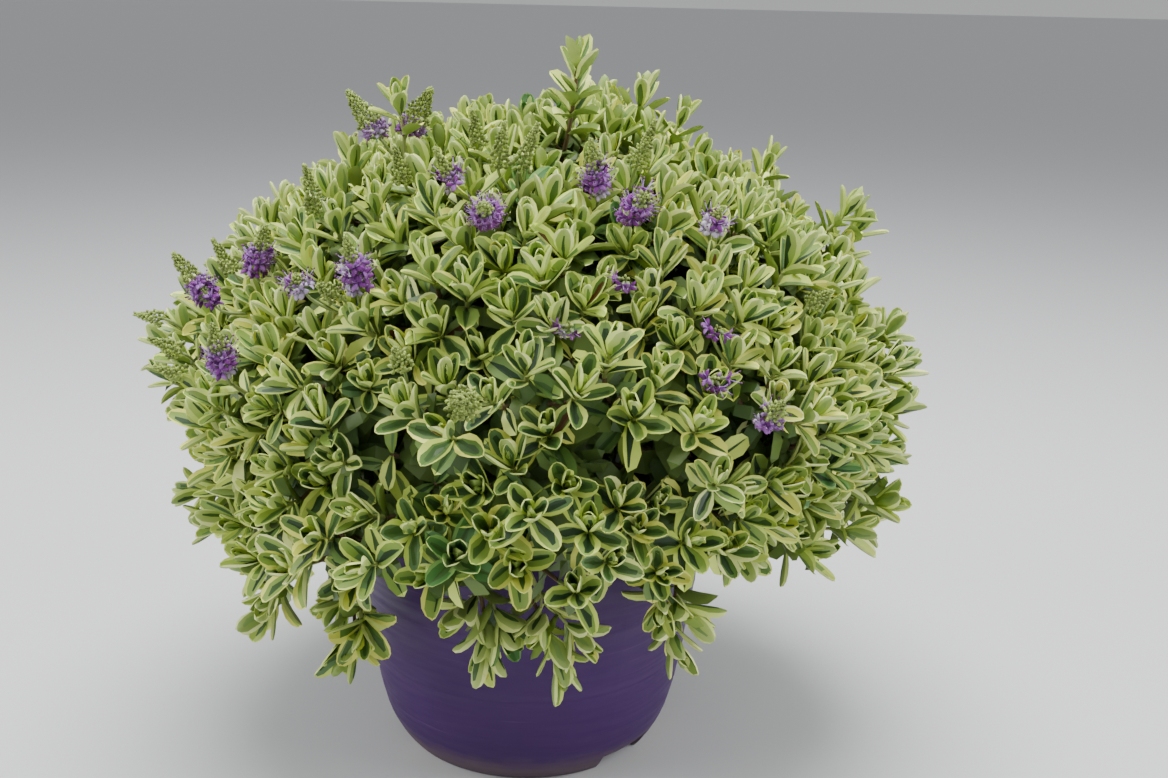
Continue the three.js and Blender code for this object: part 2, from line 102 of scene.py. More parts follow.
TWIGS = 105
TWIG_ROOM = 18.0  # how far twigs and shoots end from the walls of their mass's space
SHOOT_ROOM = 4.0
TWIG_FORK = 0.62  # the share of a twig at which its shoots part
TWIG_INSET = 24.0  # how far the tips of twigs and shoots end inside the crown's outline
TIP_INSET = 6.0
SUNK = 15.0  # how much deeper a shoot may stand by chance, and with the tuft it is in
TUFT = 6.0
LONG_RISE = 8.0  # how much further a long shoot stands out
UPRIGHT = 0.48  # how much shoots stand up, and how much they lean by chance
SHOOT_LEAN = 0.38
INNER_SHOOTS = 250
INNER_REACH = 0.72
INNER_STEP = 7.0  # how far apart the pairs of an inner shoot stand
LONG_STEP = 5.0  # how far apart the pairs of a long shoot stand, and their leaves' length and lean
LONG_LEAF = 19.5
LONG_LEAN = 37.0
LONG_SEED, HANGING_SEED, SPIKE_SEED, INNER_SEED = 1000, 1100, 1300, 1500  # first seeds of each kind
THINNING = 0.5  # how much sparser the shoots stand low on the crown
LOW_LEAF = 0.16  # how much larger the leaves are low on the crown
SPRIG_ROOM = 17.0  # how far other shoots keep from the one that stands out at the top
SPARSE_WAY = (-88, 11)  # azimuth and elevation of the patch where shoots stand furthest apart
SPARSE_WIDTH = 0.06
SPARSE_SHARE = 0.5
SHADE_WIDTH = 0.16  # how wide round that patch the leaves are dealt darker kinds and blades, as painted shade
GOLDEN_ANGLE = math.pi * (3 - math.sqrt(5))

# name, count, elevation, first azimuth, share at which the limb ends, share at which the twigs part
RINGS = [
    ("top", 1, 90, 0, 0.46, 0.6),
    ("upper", 6, 46, 20, 0.46, 0.6),
    ("side", 8, 8, 0, 0.5, 0.62),
    ("skirt", 6, -24, 12, 0.5, 0.62),
]

# Where the crown grows further out or less far: azimuth, elevation, change of reach.
LUMPS = [(-48, -20, -0.12), (-22, -25, -0.1), (-6, -12, 0.06), (-160, -22, -0.11), (-176, 4, 0.09)]

# azimuth, elevation, reach, pairs of leaves, whether the pairs stand stacked up the stem
LONG_SHOOTS = [
    (-73, 75, 1.1, 12, True), (-142, 65, 1.02, 7, False), (19, 74, 0.96, 9, False),
    (-15, 68, 0.95, 9, False), (60, 72, 0.94, 9, False), (-2, 52, 0.94, 9, False), (-5, 37, 0.98, 9, False),
    (-3, 33, 0.96, 9, False), (-170, -23, 0.98, 8, False),
]

# azimuth, distance from the pot's axis, lowest point
HANGING_SHOOTS = [
    (-148, 170, 92), (-132, 142, 78), (-97, 141, 95), (-81, 147, 92), (-56, 150, 95), (-43, 160, 145),
    (14, 160, 138), (47, 150, 104), (92, 168, 124), (131, 150, 110), (172, 176, 128),
]

# the tips of the three shoots that hang together: distance aside, up and inwards
SPRAY = [(0, 0, 0), (11, 17, 3), (-12, 26, 2)]

# Flower spikes: azimuth and elevation on the crown, height of the foot over it, azimuth and elevation
# of the spike's own way, length, girth, share of it in flower, and how far the flowers have faded.
SPIKES = [
    (-153, 62, -2, 170, 54, 29, 1.5, 0.08, 0.2), (-146, 65, 0, -30, 56, 28, 1.5, 0.1, 0.1),
    (-99, 48, -8, -92, 22, 24, 1, 0.62, 0), (-70, 49, -4, -70, 30, 24, 1.15, 0.75, 0),
    (-74, 56, -8, -110, 64, 30, 1, 0.4, 0.1), (-109, 54, -8, -140, 58, 22, 0.8, 0.2, 0.3),
    (-119, 33, -8, -104, 62, 30, 0.9, 0.5, 0.2), (-147, 31, -6, -40, 66, 27, 1, 0.4, 0),
    (-151, 22, -2, -178, 54, 33, 1.2, 0.38, 0), (-138, 14, -8, -100, 68, 28, 1.1, 0.4, 0.3),
    (-57, 11, -8, -72, 44, 20, 1.2, 0.3, 0.2), (-55, 44, -6, -60, 60, 12, 0.8, 0.5, 0.9),
    (-129, 30, -4, -140, 60, 10, 0.7, 0.5, 0.3), (-74, 37, -6, -80, 40, 2.4, 0.5, 0.7, 0),
    (-61, 27, -6, -60, 40, 2.4, 0.5, 0.7, 0), (-84, 29, -6, -90, 30, 2.4, 0.5, 0.7, 0.1),
    (-64, 19, -5, -60, 20, 3.0, 0.5, 0.8, 0),
    (-101, 60, -8, -70, 66, 24, 1, 0, 0), (-95, 59, -8, -40, 62, 26, 1, 0, 0),
    (-60, 61, -8, -45, 64, 26, 1, 0, 0), (-128, 56, -8, -130, 70, 20, 1, 0, 0),
    (-115, 68, -8, -120, 70, 20, 0.9, 0, 0), (-141, 45, -8, -120, 70, 26, 1.1, 0, 0),
    (-155, 29, -8, 178, 60, 20, 1, 0, 0), (-170, 14, -8, 178, 8, 16, 0.9, 0, 0),
    (-160, 11, -8, -165, 28, 18, 1, 0, 0), (-158, 7, -8, -168, 20, 16, 1, 0, 0),
    (-123, 31, -6, -130, 30, 14, 1.1, 0, 0), (-98, 16, -8, -88, 24, 20, 1.6, 0, 0.4),
    (-108, 21, -8, -105, 50, 14, 1.1, 0, 0.2), (-39, 28, -6, -30, 40, 14, 1, 0, 0.1),
    (40, 20, -8, 30, 40, 28, 1, 0.4, 0.1), (74, 34, -8, 60, 50, 30, 1, 0.5, 0),
    (100, 30, -8, 110, 50, 30, 1, 0.4, 0.2), (150, 10, -8, 160, 40, 26, 1, 0.3, 0.1),
    (140, 30, -8, 140, 50, 28, 1, 0.5, 0), (128, 44, -8, 120, 60, 28, 1, 0, 0),
    (52, 40, -8, 50, 60, 28, 1, 0, 0), (84, 12, -8, 90, 40, 28, 1, 0.5, 0.1),
    (112, 60, -8, 100, 60, 26, 1, 0.3, 0.1), (20, 4, -8, 20, 40, 24, 1, 0.5, 0.1),
]

# Leaves of a shoot, pair by pair from its tip: distance down the stem, length, lean in degrees,
# and how far the blade curls inwards.
PAIRS = [
    (0.0, 5.5, 6.0, 0.5),
    (1.0, 10.0, 14.0, 0.8),
    (2.8, 14.5, 25.0, 0.7),
    (5.4, 18.0, 37.0, 0.45),
    (9.0, 19.5, 48.0, 0.2),
    (13.5, 19.5, 58.0, -0.05),
    (19.0, 19.5, 67.0, -0.2),
    (25.5, 19.0, 74.0, -0.3),
    (33.0, 18.5, 79.0, -0.4),
    (41.5, 18.0, 83.0, -0.4),
]


def tone(red, green, blue):
    """A screen colour from 0 to 255 as the linear colour a shader takes."""
    linear = []
    for value in (red, green, blue):
        share = value / 255
        linear.append(share / 12.92 if share <= 0.04045 else ((share + 0.055) / 1.055) ** 2.4)
    return (*linear, 1.0)


# ---------- Settings ----------


class PotSettings(bpy.types.PropertyGroup):
    colour: FloatVectorProperty(
        name="Pot colour",
        description="Colour of the pot's plastic",
        subtype="COLOR",
        size=4,
        min=0,
        max=1,
        default=tone(57, 15, 85),
    )
    roughness: FloatProperty(
        name="Gloss",
        description="Roughness of the pot's plastic; lower is glossier",
        default=0.52,
        min=0,
        max=1,
        subtype="FACTOR",
    )
    # the pot turns greyer towards its foot, up to this height
    grey_band_height: FloatProperty(
        name="Grey band",
        description="Height of the dusty band round the foot of the pot",
        default=0.014,
        min=0,
        max=0.05,
        unit="LENGTH",
    )
    soil_colour: FloatVectorProperty(
        name="Compost colour",
        description="Colour of the damp compost",
        subtype="COLOR",
        size=4,
        min=0,
        max=1,
        default=tone(62, 50, 40),
    )


class CrownSettings(bpy.types.PropertyGroup):
    shoots: IntProperty(
        name="Shoots",
        description="Number of leafy shoots round the crown",
        default=530,
        min=50,
        max=800,
    )
    leaf_size: FloatProperty(
        name="Leaf size",
        description="Scale of the leaves",
        default=1.0,
        min=0.5,
        max=1.5,
        subtype="FACTOR",
    )
    leaf_width: FloatProperty(
        name="Leaf width",
        description="Width of a leaf as a share of its length",
        default=0.475,
        min=0.2,
        max=0.8,
        subtype="FACTOR",
    )
    leaf_gloss: FloatProperty(
        name="Leaf gloss",
        description="Roughness of the leaves; lower is glossier",
        default=0.46,
        min=0,
        max=1,
        subtype="FACTOR",
    )
    bark_colour: FloatVectorProperty(
        name="Bark colour",
        description="Colour of the stem, boughs and branches",
        subtype="COLOR",
        size=4,
        min=0,
        max=1,
        default=tone(108, 88, 66),
    )


class FlowerSettings(bpy.types.PropertyGroup):
    petal_colour: FloatVectorProperty(
        name="Petal colour",
        description="Colour of the open flowers",
        subtype="COLOR",
        size=4,
        min=0,
        max=1,
        default=tone(134, 52, 150),
    )
    bud_colour: FloatVectorProperty(
        name="Bud colour",
        description="Colour of the closed buds",
        subtype="COLOR",
        size=4,
        min=0,
        max=1,
        default=tone(142, 160, 80),
    )
    spike_width: FloatProperty(
        name="Spike width",
        description="Radius of a flower spike in bud, at its foot",
        default=0.0062,
        min=0.002,
        max=0.02,
        unit="LENGTH",
    )


class StudioSettings(bpy.types.PropertyGroup):
    floor_colour: FloatVectorProperty(
        name="Floor colour",
        description="Colour of the floor",
        subtype="COLOR",
        size=4,
        min=0,
        max=1,
        default=tone(206, 207, 209),
    )
    light: FloatProperty(
        name="Light",
        description="Power of the large lamp overhead",
        default=58.0,
        min=0,
        unit="POWER",
    )
    distance: FloatProperty(
        name="Camera distance",
        description="Distance of the camera in front of the pot's axis",
        default=0.75,
        min=0.3,
        unit="LENGTH",
    )
    height: FloatProperty(
        name="Camera height",
        description="Height of the camera above the floor",
        default=0.433,
        min=0.0,
        unit="LENGTH",
    )


# ---------- Draws, directions and curves ----------


def chance(n):
    """A repeatable draw between 0 and 1 for a number, or for each in an array."""
    value = np.sin(np.asarray(n, float) * 12.9898) * 43758.5453
    return value - np.floor(value)


def spread(n, amount):
    """A repeatable draw between minus and plus an amount."""
    return amount * (2 * chance(n) - 1)


def unit(vector):
    return vector / np.linalg.norm(vector, axis=-1, keepdims=True)


def direction(azimuth, elevation):
    turn = math.radians(azimuth)
    rise = math.radians(elevation)
    return np.array([math.cos(rise) * math.cos(turn), math.cos(rise) * math.sin(turn), math.sin(rise)])


def around(azimuth, radius, height):
    turn = math.radians(azimuth)
    return np.array([radius * math.cos(turn), radius * math.sin(turn), height])


def bezier(points, count):
    """Points along a Bezier curve of three or four control points, evenly spaced along it."""
    t = np.linspace(0, 1, 200)[:, None]
    if len(points) == 3:
        a, b, c = points
        line = (1 - t) ** 2 * a + 2 * t * (1 - t) * b + t**2 * c
    else:
        a, b, c, d = points
        line = (1 - t) ** 3 * a + 3 * t * (1 - t) ** 2 * b + 3 * t**2 * (1 - t) * c + t**3 * d
    return resample(line, count)


def resample(line, count):
    along = np.concatenate([[0], np.cumsum(np.linalg.norm(np.diff(line, axis=0), axis=1))])
    wanted = np.linspace(0, along[-1], count)
    return np.stack([np.interp(wanted, along, line[:, k]) for k in range(3)], axis=1)


def point_at(line, share):
    return resample(line, 101)[int(round(share * 100))]


def line_length(line):
    return float(np.linalg.norm(np.diff(line, axis=0), axis=1).sum())


def pot_radius(height):
    return POT_FOOT_RADIUS + POT_TAPER * height - HEEL_DEPTH * np.exp(-height / HEEL_HEIGHT)


# ---------- The crown's rule ----------


def crown_point(way, reach):
    return CROWN_CENTRE + reach * CROWN_SIZE * way


def growth(way):
    """The way a shoot grows: square to the crown's outline, turned up a little."""
    return unit(unit(way / CROWN_SIZE) + np.array([0, 0, LIFT]))


def hang(way):
    """The crown hangs less low at its front, so ways below the level are turned up there."""
    facing = way[1] / max(1e-9, math.hypot(way[0], way[1]))
    if way[2] < 0 and facing < 0:
        way = way * np.array([1, 1, 1 - FRONT_LIFT * facing**2])
    return unit(way)


def lay_out_masses():
    found = []
    for name, count, elevation, first, limb, fork in RINGS:
        for i in range(count):
            azimuth = first + 360 / count * i + 10 * (float(chance(3 * i + elevation)) - 0.5)
            shift = 0 if elevation == 90 else 6 * (float(chance(i + elevation)) - 0.5)
            label = name if count == 1 else f"{name}_{i + 1}"
            mass = {"label": label, "ring": name, "azimuth": azimuth}
            mass["way"] = hang(direction(azimuth, elevation + shift))
            mass["limb_share"] = limb
            mass["fork"] = crown_point(mass["way"], fork)
            found.append(mass)
    return found


MASSES = lay_out_masses()
MASS_WAYS = np.array([mass["way"] for mass in MASSES])


def in_cell(index, point, margin):
    """Whether a point lies inside a mass's own space, clear of its walls."""
    walls = unit((MASS_WAYS[index] - np.delete(MASS_WAYS, index, axis=0)) / CROWN_SIZE)
    return bool(np.all(walls @ (point - CROWN_CENTRE) > margin))


def nearest_mass(way):
    return int(np.argmax(MASS_WAYS @ way))


def crown_reach(way, seed):
    """How far the crown reaches: drawn in at the shoulder and between two masses, swollen at the
    belly, and uneven with its lumps."""
    near = np.sort(MASS_WAYS @ way)
    edge = min(1.0, (near[-1] - near[-2]) / VALLEY_WIDTH)
    slope = math.sin(2 * math.asin(max(-1.0, min(1.0, way[2])))) ** 2
    swell = -SHOULDER * slope if way[2] > 0 else BELLY * slope
    lumps = sum(
        swell_by * math.exp(-(1 - float(direction(azimuth, elevation) @ way)) / LUMP_WIDTH)
        for azimuth, elevation, swell_by in LUMPS
    )
    return 1 + swell + lumps - VALLEY * (1 - edge) + RAGGED * (float(chance(seed)) - 0.5)


def settle_in_cell(way, room):
    """Moves a shoot's way in from the walls of its mass's space until its leaves have room."""
    index = nearest_mass(way)
    while not in_cell(index, crown_point(way, 1), room):
        way = unit(way + 0.05 * (MASS_WAYS[index] - way))
    return index, way


def spiral_way(rise, i):
    level = math.sqrt(1 - rise * rise)
    return hang(np.array([level * math.cos(GOLDEN_ANGLE * i), level * math.sin(GOLDEN_ANGLE * i), rise]))


def lay_out_limbs():
    """The stem, the boughs and the branches, each as its line, its radius at both ends and its flare."""
    limbs = {}

    def add_limb(name, mass, start, sag, count, radius, flare):
        end = crown_point(mass["way"], mass["limb_share"])
        limbs[name] = (bezier([start, (start + end) / 2 + sag, end], count), radius, LIMB_TIP_RADIUS, flare)
        mass["limb"] = name

    soil_top = np.array([0, 0, SOIL_TOP + GAP])
    stem_top = soil_top + STEM_LEAN + np.array([0, 0, STEM_HEIGHT])
    stem_bend = soil_top + np.array([0, 0, STEM_HEIGHT / 2])
    limbs["stem"] = (bezier([soil_top, stem_bend, stem_top], 24), STEM_RADIUS, STEM_TOP_RADIUS, STEM_FLARE)
    boughs = []
    for mass in MASSES:
        if mass["ring"] not in ("top", "upper"):
            continue
        leader = mass["ring"] == "top"
        share = 0.55 + 0.06 * len(boughs)
        start = stem_top if leader else soil_top + share * (stem_top - soil_top)
        sag = around(mass["azimuth"], 3 if leader else 9, 0 if leader else -7)
        name = "bough_centre" if leader else f"bough_{len(boughs)}"
        add_limb(name, mass, start, sag, 40, BOUGH_RADIUS, 0.8)
        boughs.append({"azimuth": mass["azimuth"], "line": limbs[name][0], "branches": 0})
    for mass in MASSES:
        if "limb" in mass:
            continue
        bough = min(boughs[1:], key=lambda b: 1 - math.cos(math.radians(b["azimuth"] - mass["azimuth"])))
        low = mass["ring"] == "skirt"
        start = point_at(bough["line"], 0.24 if low else 0.46 + 0.14 * bough["branches"])
        sag = np.array([0, 0, 6 if low else 4])
        add_limb(f"branch_{mass['label']}", mass, start, sag, 32, BRANCH_RADIUS, 0.6)
        bough["branches"] += 0 if low else 1
    return limbs


LIMBS = lay_out_limbs()


def mass_stem(mass):
    """The stem of a mass, from the end of its limb to the fork where its twigs part."""
    line = LIMBS[mass["limb"]][0]
    along = unit(line[-1] - line[-2])
    bend = line[-1] + along * np.linalg.norm(mass["fork"] - line[-1]) / 2
    return bezier([line[-1], bend, mass["fork"]], 12)


def twig_line(start, tip, grow, count):
    back = min(50.0, float(np.linalg.norm(tip - start)) / 2)
    return bezier([start, tip - back * grow, tip], count)


def lay_out_twigs():
    """The twigs of every mass, whose tips wind evenly round the crown."""
    twigs = []
    for i in range(TWIGS):
        rise = 1 - ((i + 0.5) / TWIGS) * (1 - CROWN_LOWEST)
        index, way = settle_in_cell(spiral_way(rise, i), TWIG_ROOM)
        grow = growth(way)
        tip = crown_point(way, crown_reach(way, i)) - TWIG_INSET * grow
        line = twig_line(MASSES[index]["fork"], tip, grow, 30)
        twigs.append({"mass": index, "tip": tip, "line": line, "used": False})
    return twigs


def even_rises(count):
    """Heights on the unit crown that spread the shoots over its outline, a little closer at the top."""
    rise = np.linspace(1, CROWN_LOWEST, 2000)
    wide, high = CROWN_SIZE[0], CROWN_SIZE[2]
    weight = np.sqrt(high**2 + (wide**2 - high**2) * rise**2) * (1 + THINNING * rise)
    share = np.concatenate([[0], np.cumsum((weight[1:] + weight[:-1]) / 2)])
    return np.interp((np.arange(count) + 0.5) / count, share / share[-1], rise)


def new_shoot(mass, line, pairs, seed, **kind):
    """A leafy shoot. An inner one bears old leaves, coloured darker as painted shade, a long one is dressed
    far down its stem, and a slim one holds its pairs stacked and close to the stem."""
    plain = {"inner": False, "long": False, "slim": False}
    return {**plain, "mass": mass, "line": line, "pairs": pairs, "seed": seed, **kind}


def outer_shoots(count, twigs):
    """Shoots whose tips wind evenly round the crown, each from the twig of its mass that ends nearest."""
    shoots = []
    for i, rise in enumerate(even_rises(count)):
        index, way = settle_in_cell(spiral_way(rise, i), SHOOT_ROOM)
        apart = 1 - float(direction(*SPARSE_WAY) @ way)
        if float(chance(11 * i + 4)) < SPARSE_SHARE * math.exp(-apart / SPARSE_WIDTH):
            continue
        tuft = math.sin(9 * way[0] + 1) * math.sin(8 * way[1] + 2) * math.sin(10 * way[2])
        sunk = SUNK * float(chance(7 * i + 3)) ** 1.5 + TUFT * (1 + tuft) / 2
        upright = spread(3 * i + 5, 0.3) + UPRIGHT * (1 + 0.4 * way[2])
        lean = np.array([spread(3 * i + 1, SHOOT_LEAN), spread(3 * i + 2, SHOOT_LEAN), upright])
        grow = unit(growth(way) + lean)
        tip = crown_point(way, crown_reach(way, i)) - (TIP_INSET + sunk) * growth(way)
        own = [twig for twig in twigs if twig["mass"] == index]
        twig = min(own, key=lambda one: float(np.linalg.norm(one["tip"] - tip)))
        twig["used"] = True
        start = point_at(twig["line"], TWIG_FORK)
        shoots.append(new_shoot(index, twig_line(start, tip, grow, 24), len(PAIRS), i))
    return shoots


def inner_shoots():
    """Short shoots with old leaves, coloured darker as painted shade, which close the view into the crown."""
    shoots = []
    for i in range(INNER_SHOOTS):
        rise = 1 - (i + 0.5) / INNER_SHOOTS * (1 - CROWN_LOWEST)
        index, way = settle_in_cell(spiral_way(rise, i + 0.5), SHOOT_ROOM)
        tip = crown_point(way, INNER_REACH + 0.1 * float(chance(i * 3 + 2)))
        line = twig_line(MASSES[index]["fork"], tip, growth(way), 12)
        shoots.append(new_shoot(index, line, 5, INNER_SEED + i, inner=True))
    return shoots


def lay_out_shoots(count):
    """The twigs, and every leafy shoot from a twig or a fork."""
    twigs = lay_out_twigs()
    shoots = outer_shoots(count, twigs) + inner_shoots()
    for i, (azimuth, elevation, reach, pairs, stacked) in enumerate(LONG_SHOOTS):
        way = direction(azimuth, elevation)
        index = nearest_mass(way)
        tip = crown_point(way, reach) + LONG_RISE * growth(way)
        line = twig_line(MASSES[index]["fork"], tip, growth(way), 40)
        if stacked:
            shoots = [shoot for shoot in shoots if clear_of_sprig(shoot, line)]
        shoots.append(new_shoot(index, line, pairs, LONG_SEED + i, long=stacked, slim=stacked))
    for i, (azimuth, out, low) in enumerate(HANGING_SHOOTS):
        shoots.extend(hanging_spray(i, azimuth, out, low))
    return twigs, shoots


def clear_of_sprig(shoot, line):
    return float(np.min(np.linalg.norm(line - shoot["line"][-1], axis=1))) > SPRIG_ROOM


def hanging_spray(i, azimuth, out, low):
    """Three shoots that part from one twig and hang over the rim of the pot."""
    skirts = [k for k, mass in enumerate(MASSES) if mass["ring"] == "skirt"]
    end = around(azimuth, out, low + 24)
    index = min(skirts, key=lambda k: float(np.linalg.norm(MASSES[k]["fork"] - end)))
    fork = MASSES[index]["fork"]
    over = fork + around(azimuth, 26, 6)
    found = []
    for j, (side, up, inward) in enumerate(SPRAY):
        turn = azimuth + math.degrees(side / out)
        tip = around(turn, out - inward, low + 12 + up)
        grow = unit(around(azimuth + side * 3, 0.85, -0.5 + 0.012 * up))
        line = bezier([fork, over, tip - 32 * grow, tip], 40)
        found.append(new_shoot(index, line, 7, HANGING_SEED + 3 * i + j, long=j == 0))
    return found


# ---------- Building meshes ----------


class Heap:
    """Points and faces of many like pieces, gathered into one mesh."""

    def __init__(self):
        self.points = []
        self.rims = []
        self.faces = {3: [], 4: []}
        self.slots = {3: [], 4: []}
        self.count = 0

    def add(self, points, triangles=(), quads=(), triangle_slots=0, quad_slots=0, rim=None):
        points = np.asarray(points, float).reshape(-1, 3)
        for sides, faces, slots in ((3, triangles, triangle_slots), (4, quads, quad_slots)):
            if len(faces):
                self.faces[sides].append(np.asarray(faces, int) + self.count)
                self.slots[sides].append(np.broadcast_to(slots, len(faces)))
        self.rims.append(np.zeros(len(points), bool) if rim is None else rim)
        self.points.append(points)
        self.count += len(points)

    def build(self, name, materials):
        corners = []
        sizes = []
        for sides, faces in self.faces.items():
            if faces:
                corners.append(np.concatenate(faces).ravel())
                sizes.append(np.full(len(corners[-1]) // sides, sides))
        corners = np.concatenate(corners)
        sizes = np.concatenate(sizes)
        points = np.concatenate(self.points) * MM
        mesh = bpy.data.meshes.new(name)
        mesh.vertices.add(len(points))
        mesh.vertices.foreach_set("co", points.astype(np.float32).ravel())
        mesh.loops.add(len(corners))
        mesh.loops.foreach_set("vertex_index", corners.astype(np.int32))
        mesh.polygons.add(len(sizes))
        mesh.polygons.foreach_set("loop_start", (np.cumsum(sizes) - sizes).astype(np.int32))
        slots = np.concatenate(self.slots[3] + self.slots[4])
        mesh.polygons.foreach_set("material_index", slots.astype(np.int32))
        mesh.update(calc_edges=True)
        mesh.shade_smooth()
        rim = np.concatenate(self.rims)
        if rim.any():
            sharpen(mesh, rim)
        for material in materials:
            mesh.materials.append(material)
        piece = bpy.data.objects.new(name, mesh)
        bpy.context.scene.collection.objects.link(piece)
        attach(piece, BODY)
        return piece


def sharpen(mesh, rim):
    """Leaves the edges between two rim points sharp, so each side of a blade is shaded on its own."""
    ends = np.zeros(len(mesh.edges) * 2, np.int32)
    mesh.edges.foreach_get("vertices", ends)
    ends = ends.reshape(-1, 2)
    sharp = rim[ends[:, 0]] & rim[ends[:, 1]]
    mesh.attributes.new("sharp_edge", "BOOLEAN", "EDGE").data.foreach_set("value", sharp)


def frames_along(line):
    """Two directions across a line at each point, carried along it without twisting."""
    along = unit(np.gradient(line, axis=0))
    first = np.cross(along[0], [0.0, 0.0, 1.0])
    if np.linalg.norm(first) < 0.1:
        first = np.cross(along[0], [1.0, 0.0, 0.0])
    sides = [unit(first)]
    for way in along[1:]:
        carried = sides[-1] - way * float(sides[-1] @ way)
        sides.append(unit(carried))
    sides = np.array(sides)
    return along, sides, np.cross(along, sides)


def add_shell(heap, rings, ends, slots=0):
    """A closed form: rings of points joined by faces, and a point in the middle of both end rings."""
    count, sides = rings.shape[:2]
    row, column = np.meshgrid(np.arange(count - 1), np.arange(sides), indexing="ij")
    here = (row * sides + column).ravel()
    beside = (row * sides + (column + 1) % sides).ravel()
    quads = np.stack([here, beside, beside + sides, here + sides], axis=1)
    k = np.arange(sides)
    after = (k + 1) % sides
    base = (count - 1) * sides
    foot = np.stack([np.full(sides, count * sides), after, k], axis=1)
    head = np.stack([np.full(sides, count * sides + 1), base + k, base + after], axis=1)
    quad_slots = np.repeat(np.broadcast_to(slots, count - 1), sides)
    points = np.concatenate([rings.reshape(-1, 3), ends])
    heap.add(points, np.concatenate([foot, head]), quads, quad_slots[-1], quad_slots)


def add_tube(heap, line, radii, sides, slots=0):
    """A round limb along a line. radii holds one value a point, or one row a point."""
    _, across, over = frames_along(line)
    turn = np.linspace(0, 2 * math.pi, sides, endpoint=False)
    radii = np.asarray(radii, float).reshape(len(line), -1, 1)
    ring = across[:, None] * np.cos(turn)[None, :, None] + over[:, None] * np.sin(turn)[None, :, None]
    add_shell(heap, line[:, None] + ring * radii, line[[0, -1]], slots)


def add_turned(heap, radii, heights, turns):
    """A form turned round the pot's axis. radii and heights hold a row for each turn."""
    x = radii * np.cos(turns)[:, None]
    y = radii * np.sin(turns)[:, None]
    rings = np.stack([x, y, heights], axis=-1).swapaxes(0, 1)
    add_shell(heap, rings, [[0, 0, heights[0, 0]], [0, 0, heights[0, -1]]])


# ---------- Finishes ----------


def plain_finish(name, colour, roughness, specular=0.4):
    """A finish of one colour for leaves, buds and petals, dealt out by material slot."""
    material = bpy.data.materials.new(name)
    material.use_nodes = True
    shader = material.node_tree.nodes["Principled BSDF"]
    shader.inputs["Base Color"].default_value = colour
    shader.inputs["Roughness"].default_value = roughness
    shader.inputs["Specular IOR Level"].default_value = specular
    material.diffuse_color = colour
    return material


class Finish:
    """A procedural finish, laid by the object's own coordinates."""

    def __init__(self, name):
        self.material = bpy.data.materials.new(name)
        self.material.use_nodes = True
        self.nodes = self.material.node_tree.nodes
        self.links = self.material.node_tree.links
        self.place = self.nodes.new("ShaderNodeTexCoord").outputs["Object"]

    def feed(self, socket, value):
        if isinstance(value, bpy.types.NodeSocket):
            self.links.new(value, socket)
        else:
            socket.default_value = value

    def add(self, kind, output, inputs, **options):
        """Adds a node, links or sets its inputs, and gives back one of its outputs."""
        node = self.nodes.new(kind)
        for option, value in options.items():
            setattr(node, option, value)
        for name, value in inputs.items():
            self.feed(node.inputs[name], value)
        return node.outputs[output]

    def noise(self, stretch, detail=4.0, rough=0.55):
        place = self.add("ShaderNodeMapping", "Vector", {"Vector": self.place, "Scale": stretch})
        inputs = {"Vector": place, "Scale": 1.0, "Detail": detail, "Roughness": rough}
        return self.add("ShaderNodeTexNoise", "Fac", inputs)

    def ramp(self, value, low, high, start=0.0, end=1.0):
        inputs = {"Value": value, "From Min": low, "From Max": high, "To Min": start, "To Max": end}
        return self.add("ShaderNodeMapRange", "Result", inputs)

    def blend(self, share, first, second):
        return self.add("ShaderNodeMix", 2, {0: share, 6: first, 7: second}, data_type="RGBA")

    def combine(self, how, first, second):
        return self.add("ShaderNodeMath", 0, {0: first, 1: second}, operation=how)

    def relief(self, height, strength, distance):
        inputs = {"Height": height, "Strength": strength, "Distance": distance}
        self.lay("Normal", self.add("ShaderNodeBump", "Normal", inputs))

    def lay(self, channel, socket):
        self.feed(self.nodes["Principled BSDF"].inputs[channel], socket)


def shade(colour, factor):
    return (*(min(1.0, value * factor) for value in colour[:3]), 1.0)


def pot_finish(settings):
    finish = Finish("pot plastic")
    cloudy = finish.ramp(finish.noise((14, 14, 14)), 0.3, 0.7)
    body = finish.blend(cloudy, shade(settings.colour, 0.9), shade(settings.colour, 1.12))
    streaks = finish.ramp(finish.noise((9, 9, 520), 6, 0.7), 0.6, 0.72)
    patchy = finish.ramp(finish.noise((22, 22, 30)), 0.45, 0.62)
    scuffs = finish.combine("MULTIPLY", streaks, patchy)
    scuffed = finish.blend(finish.combine("MULTIPLY", scuffs, 0.35), body, tone(132, 104, 158))
    height = finish.add("ShaderNodeSeparateXYZ", "Z", {"Vector": finish.place})
    edge = finish.ramp(finish.noise((60, 60, 60)), 0.3, 0.7, -0.003, 0.003)
    level = finish.combine("ADD", height, edge)
    # greyer towards the foot of the pot, and rougher there
    greyed = finish.ramp(level, settings.grey_band_height * 1.35, settings.grey_band_height * 0.5, 0, 0.75)
    finish.lay("Base Color", finish.blend(greyed, scuffed, tone(104, 88, 92)))
    fine = finish.noise((30, 30, 260), 5)
    worn = finish.ramp(fine, 0.35, 0.7, settings.roughness - 0.06, settings.roughness + 0.12)
    finish.lay("Roughness", finish.combine("ADD", worn, finish.combine("MULTIPLY", greyed, 0.3)))
    finish.relief(finish.noise((90, 90, 420), 3), 0.06, 0.0006)
    return finish.material


def compost_finish(settings):
    finish = Finish("damp compost")
    fine = finish.ramp(finish.noise((260, 260, 260), 6, 0.7), 0.35, 0.7)
    base = finish.blend(fine, shade(settings.soil_colour, 0.55), shade(settings.soil_colour, 1.25))
    fibres = finish.ramp(finish.noise((520, 90, 300), 4, 0.6), 0.66, 0.74)
    finish.lay("Base Color", finish.blend(fibres, base, tone(128, 104, 78)))
    finish.lay("Roughness", finish.ramp(fine, 0, 1, 0.95, 0.8))
    finish.relief(finish.noise((400, 400, 400), 6, 0.7), 0.8, 0.0015)
    return finish.material


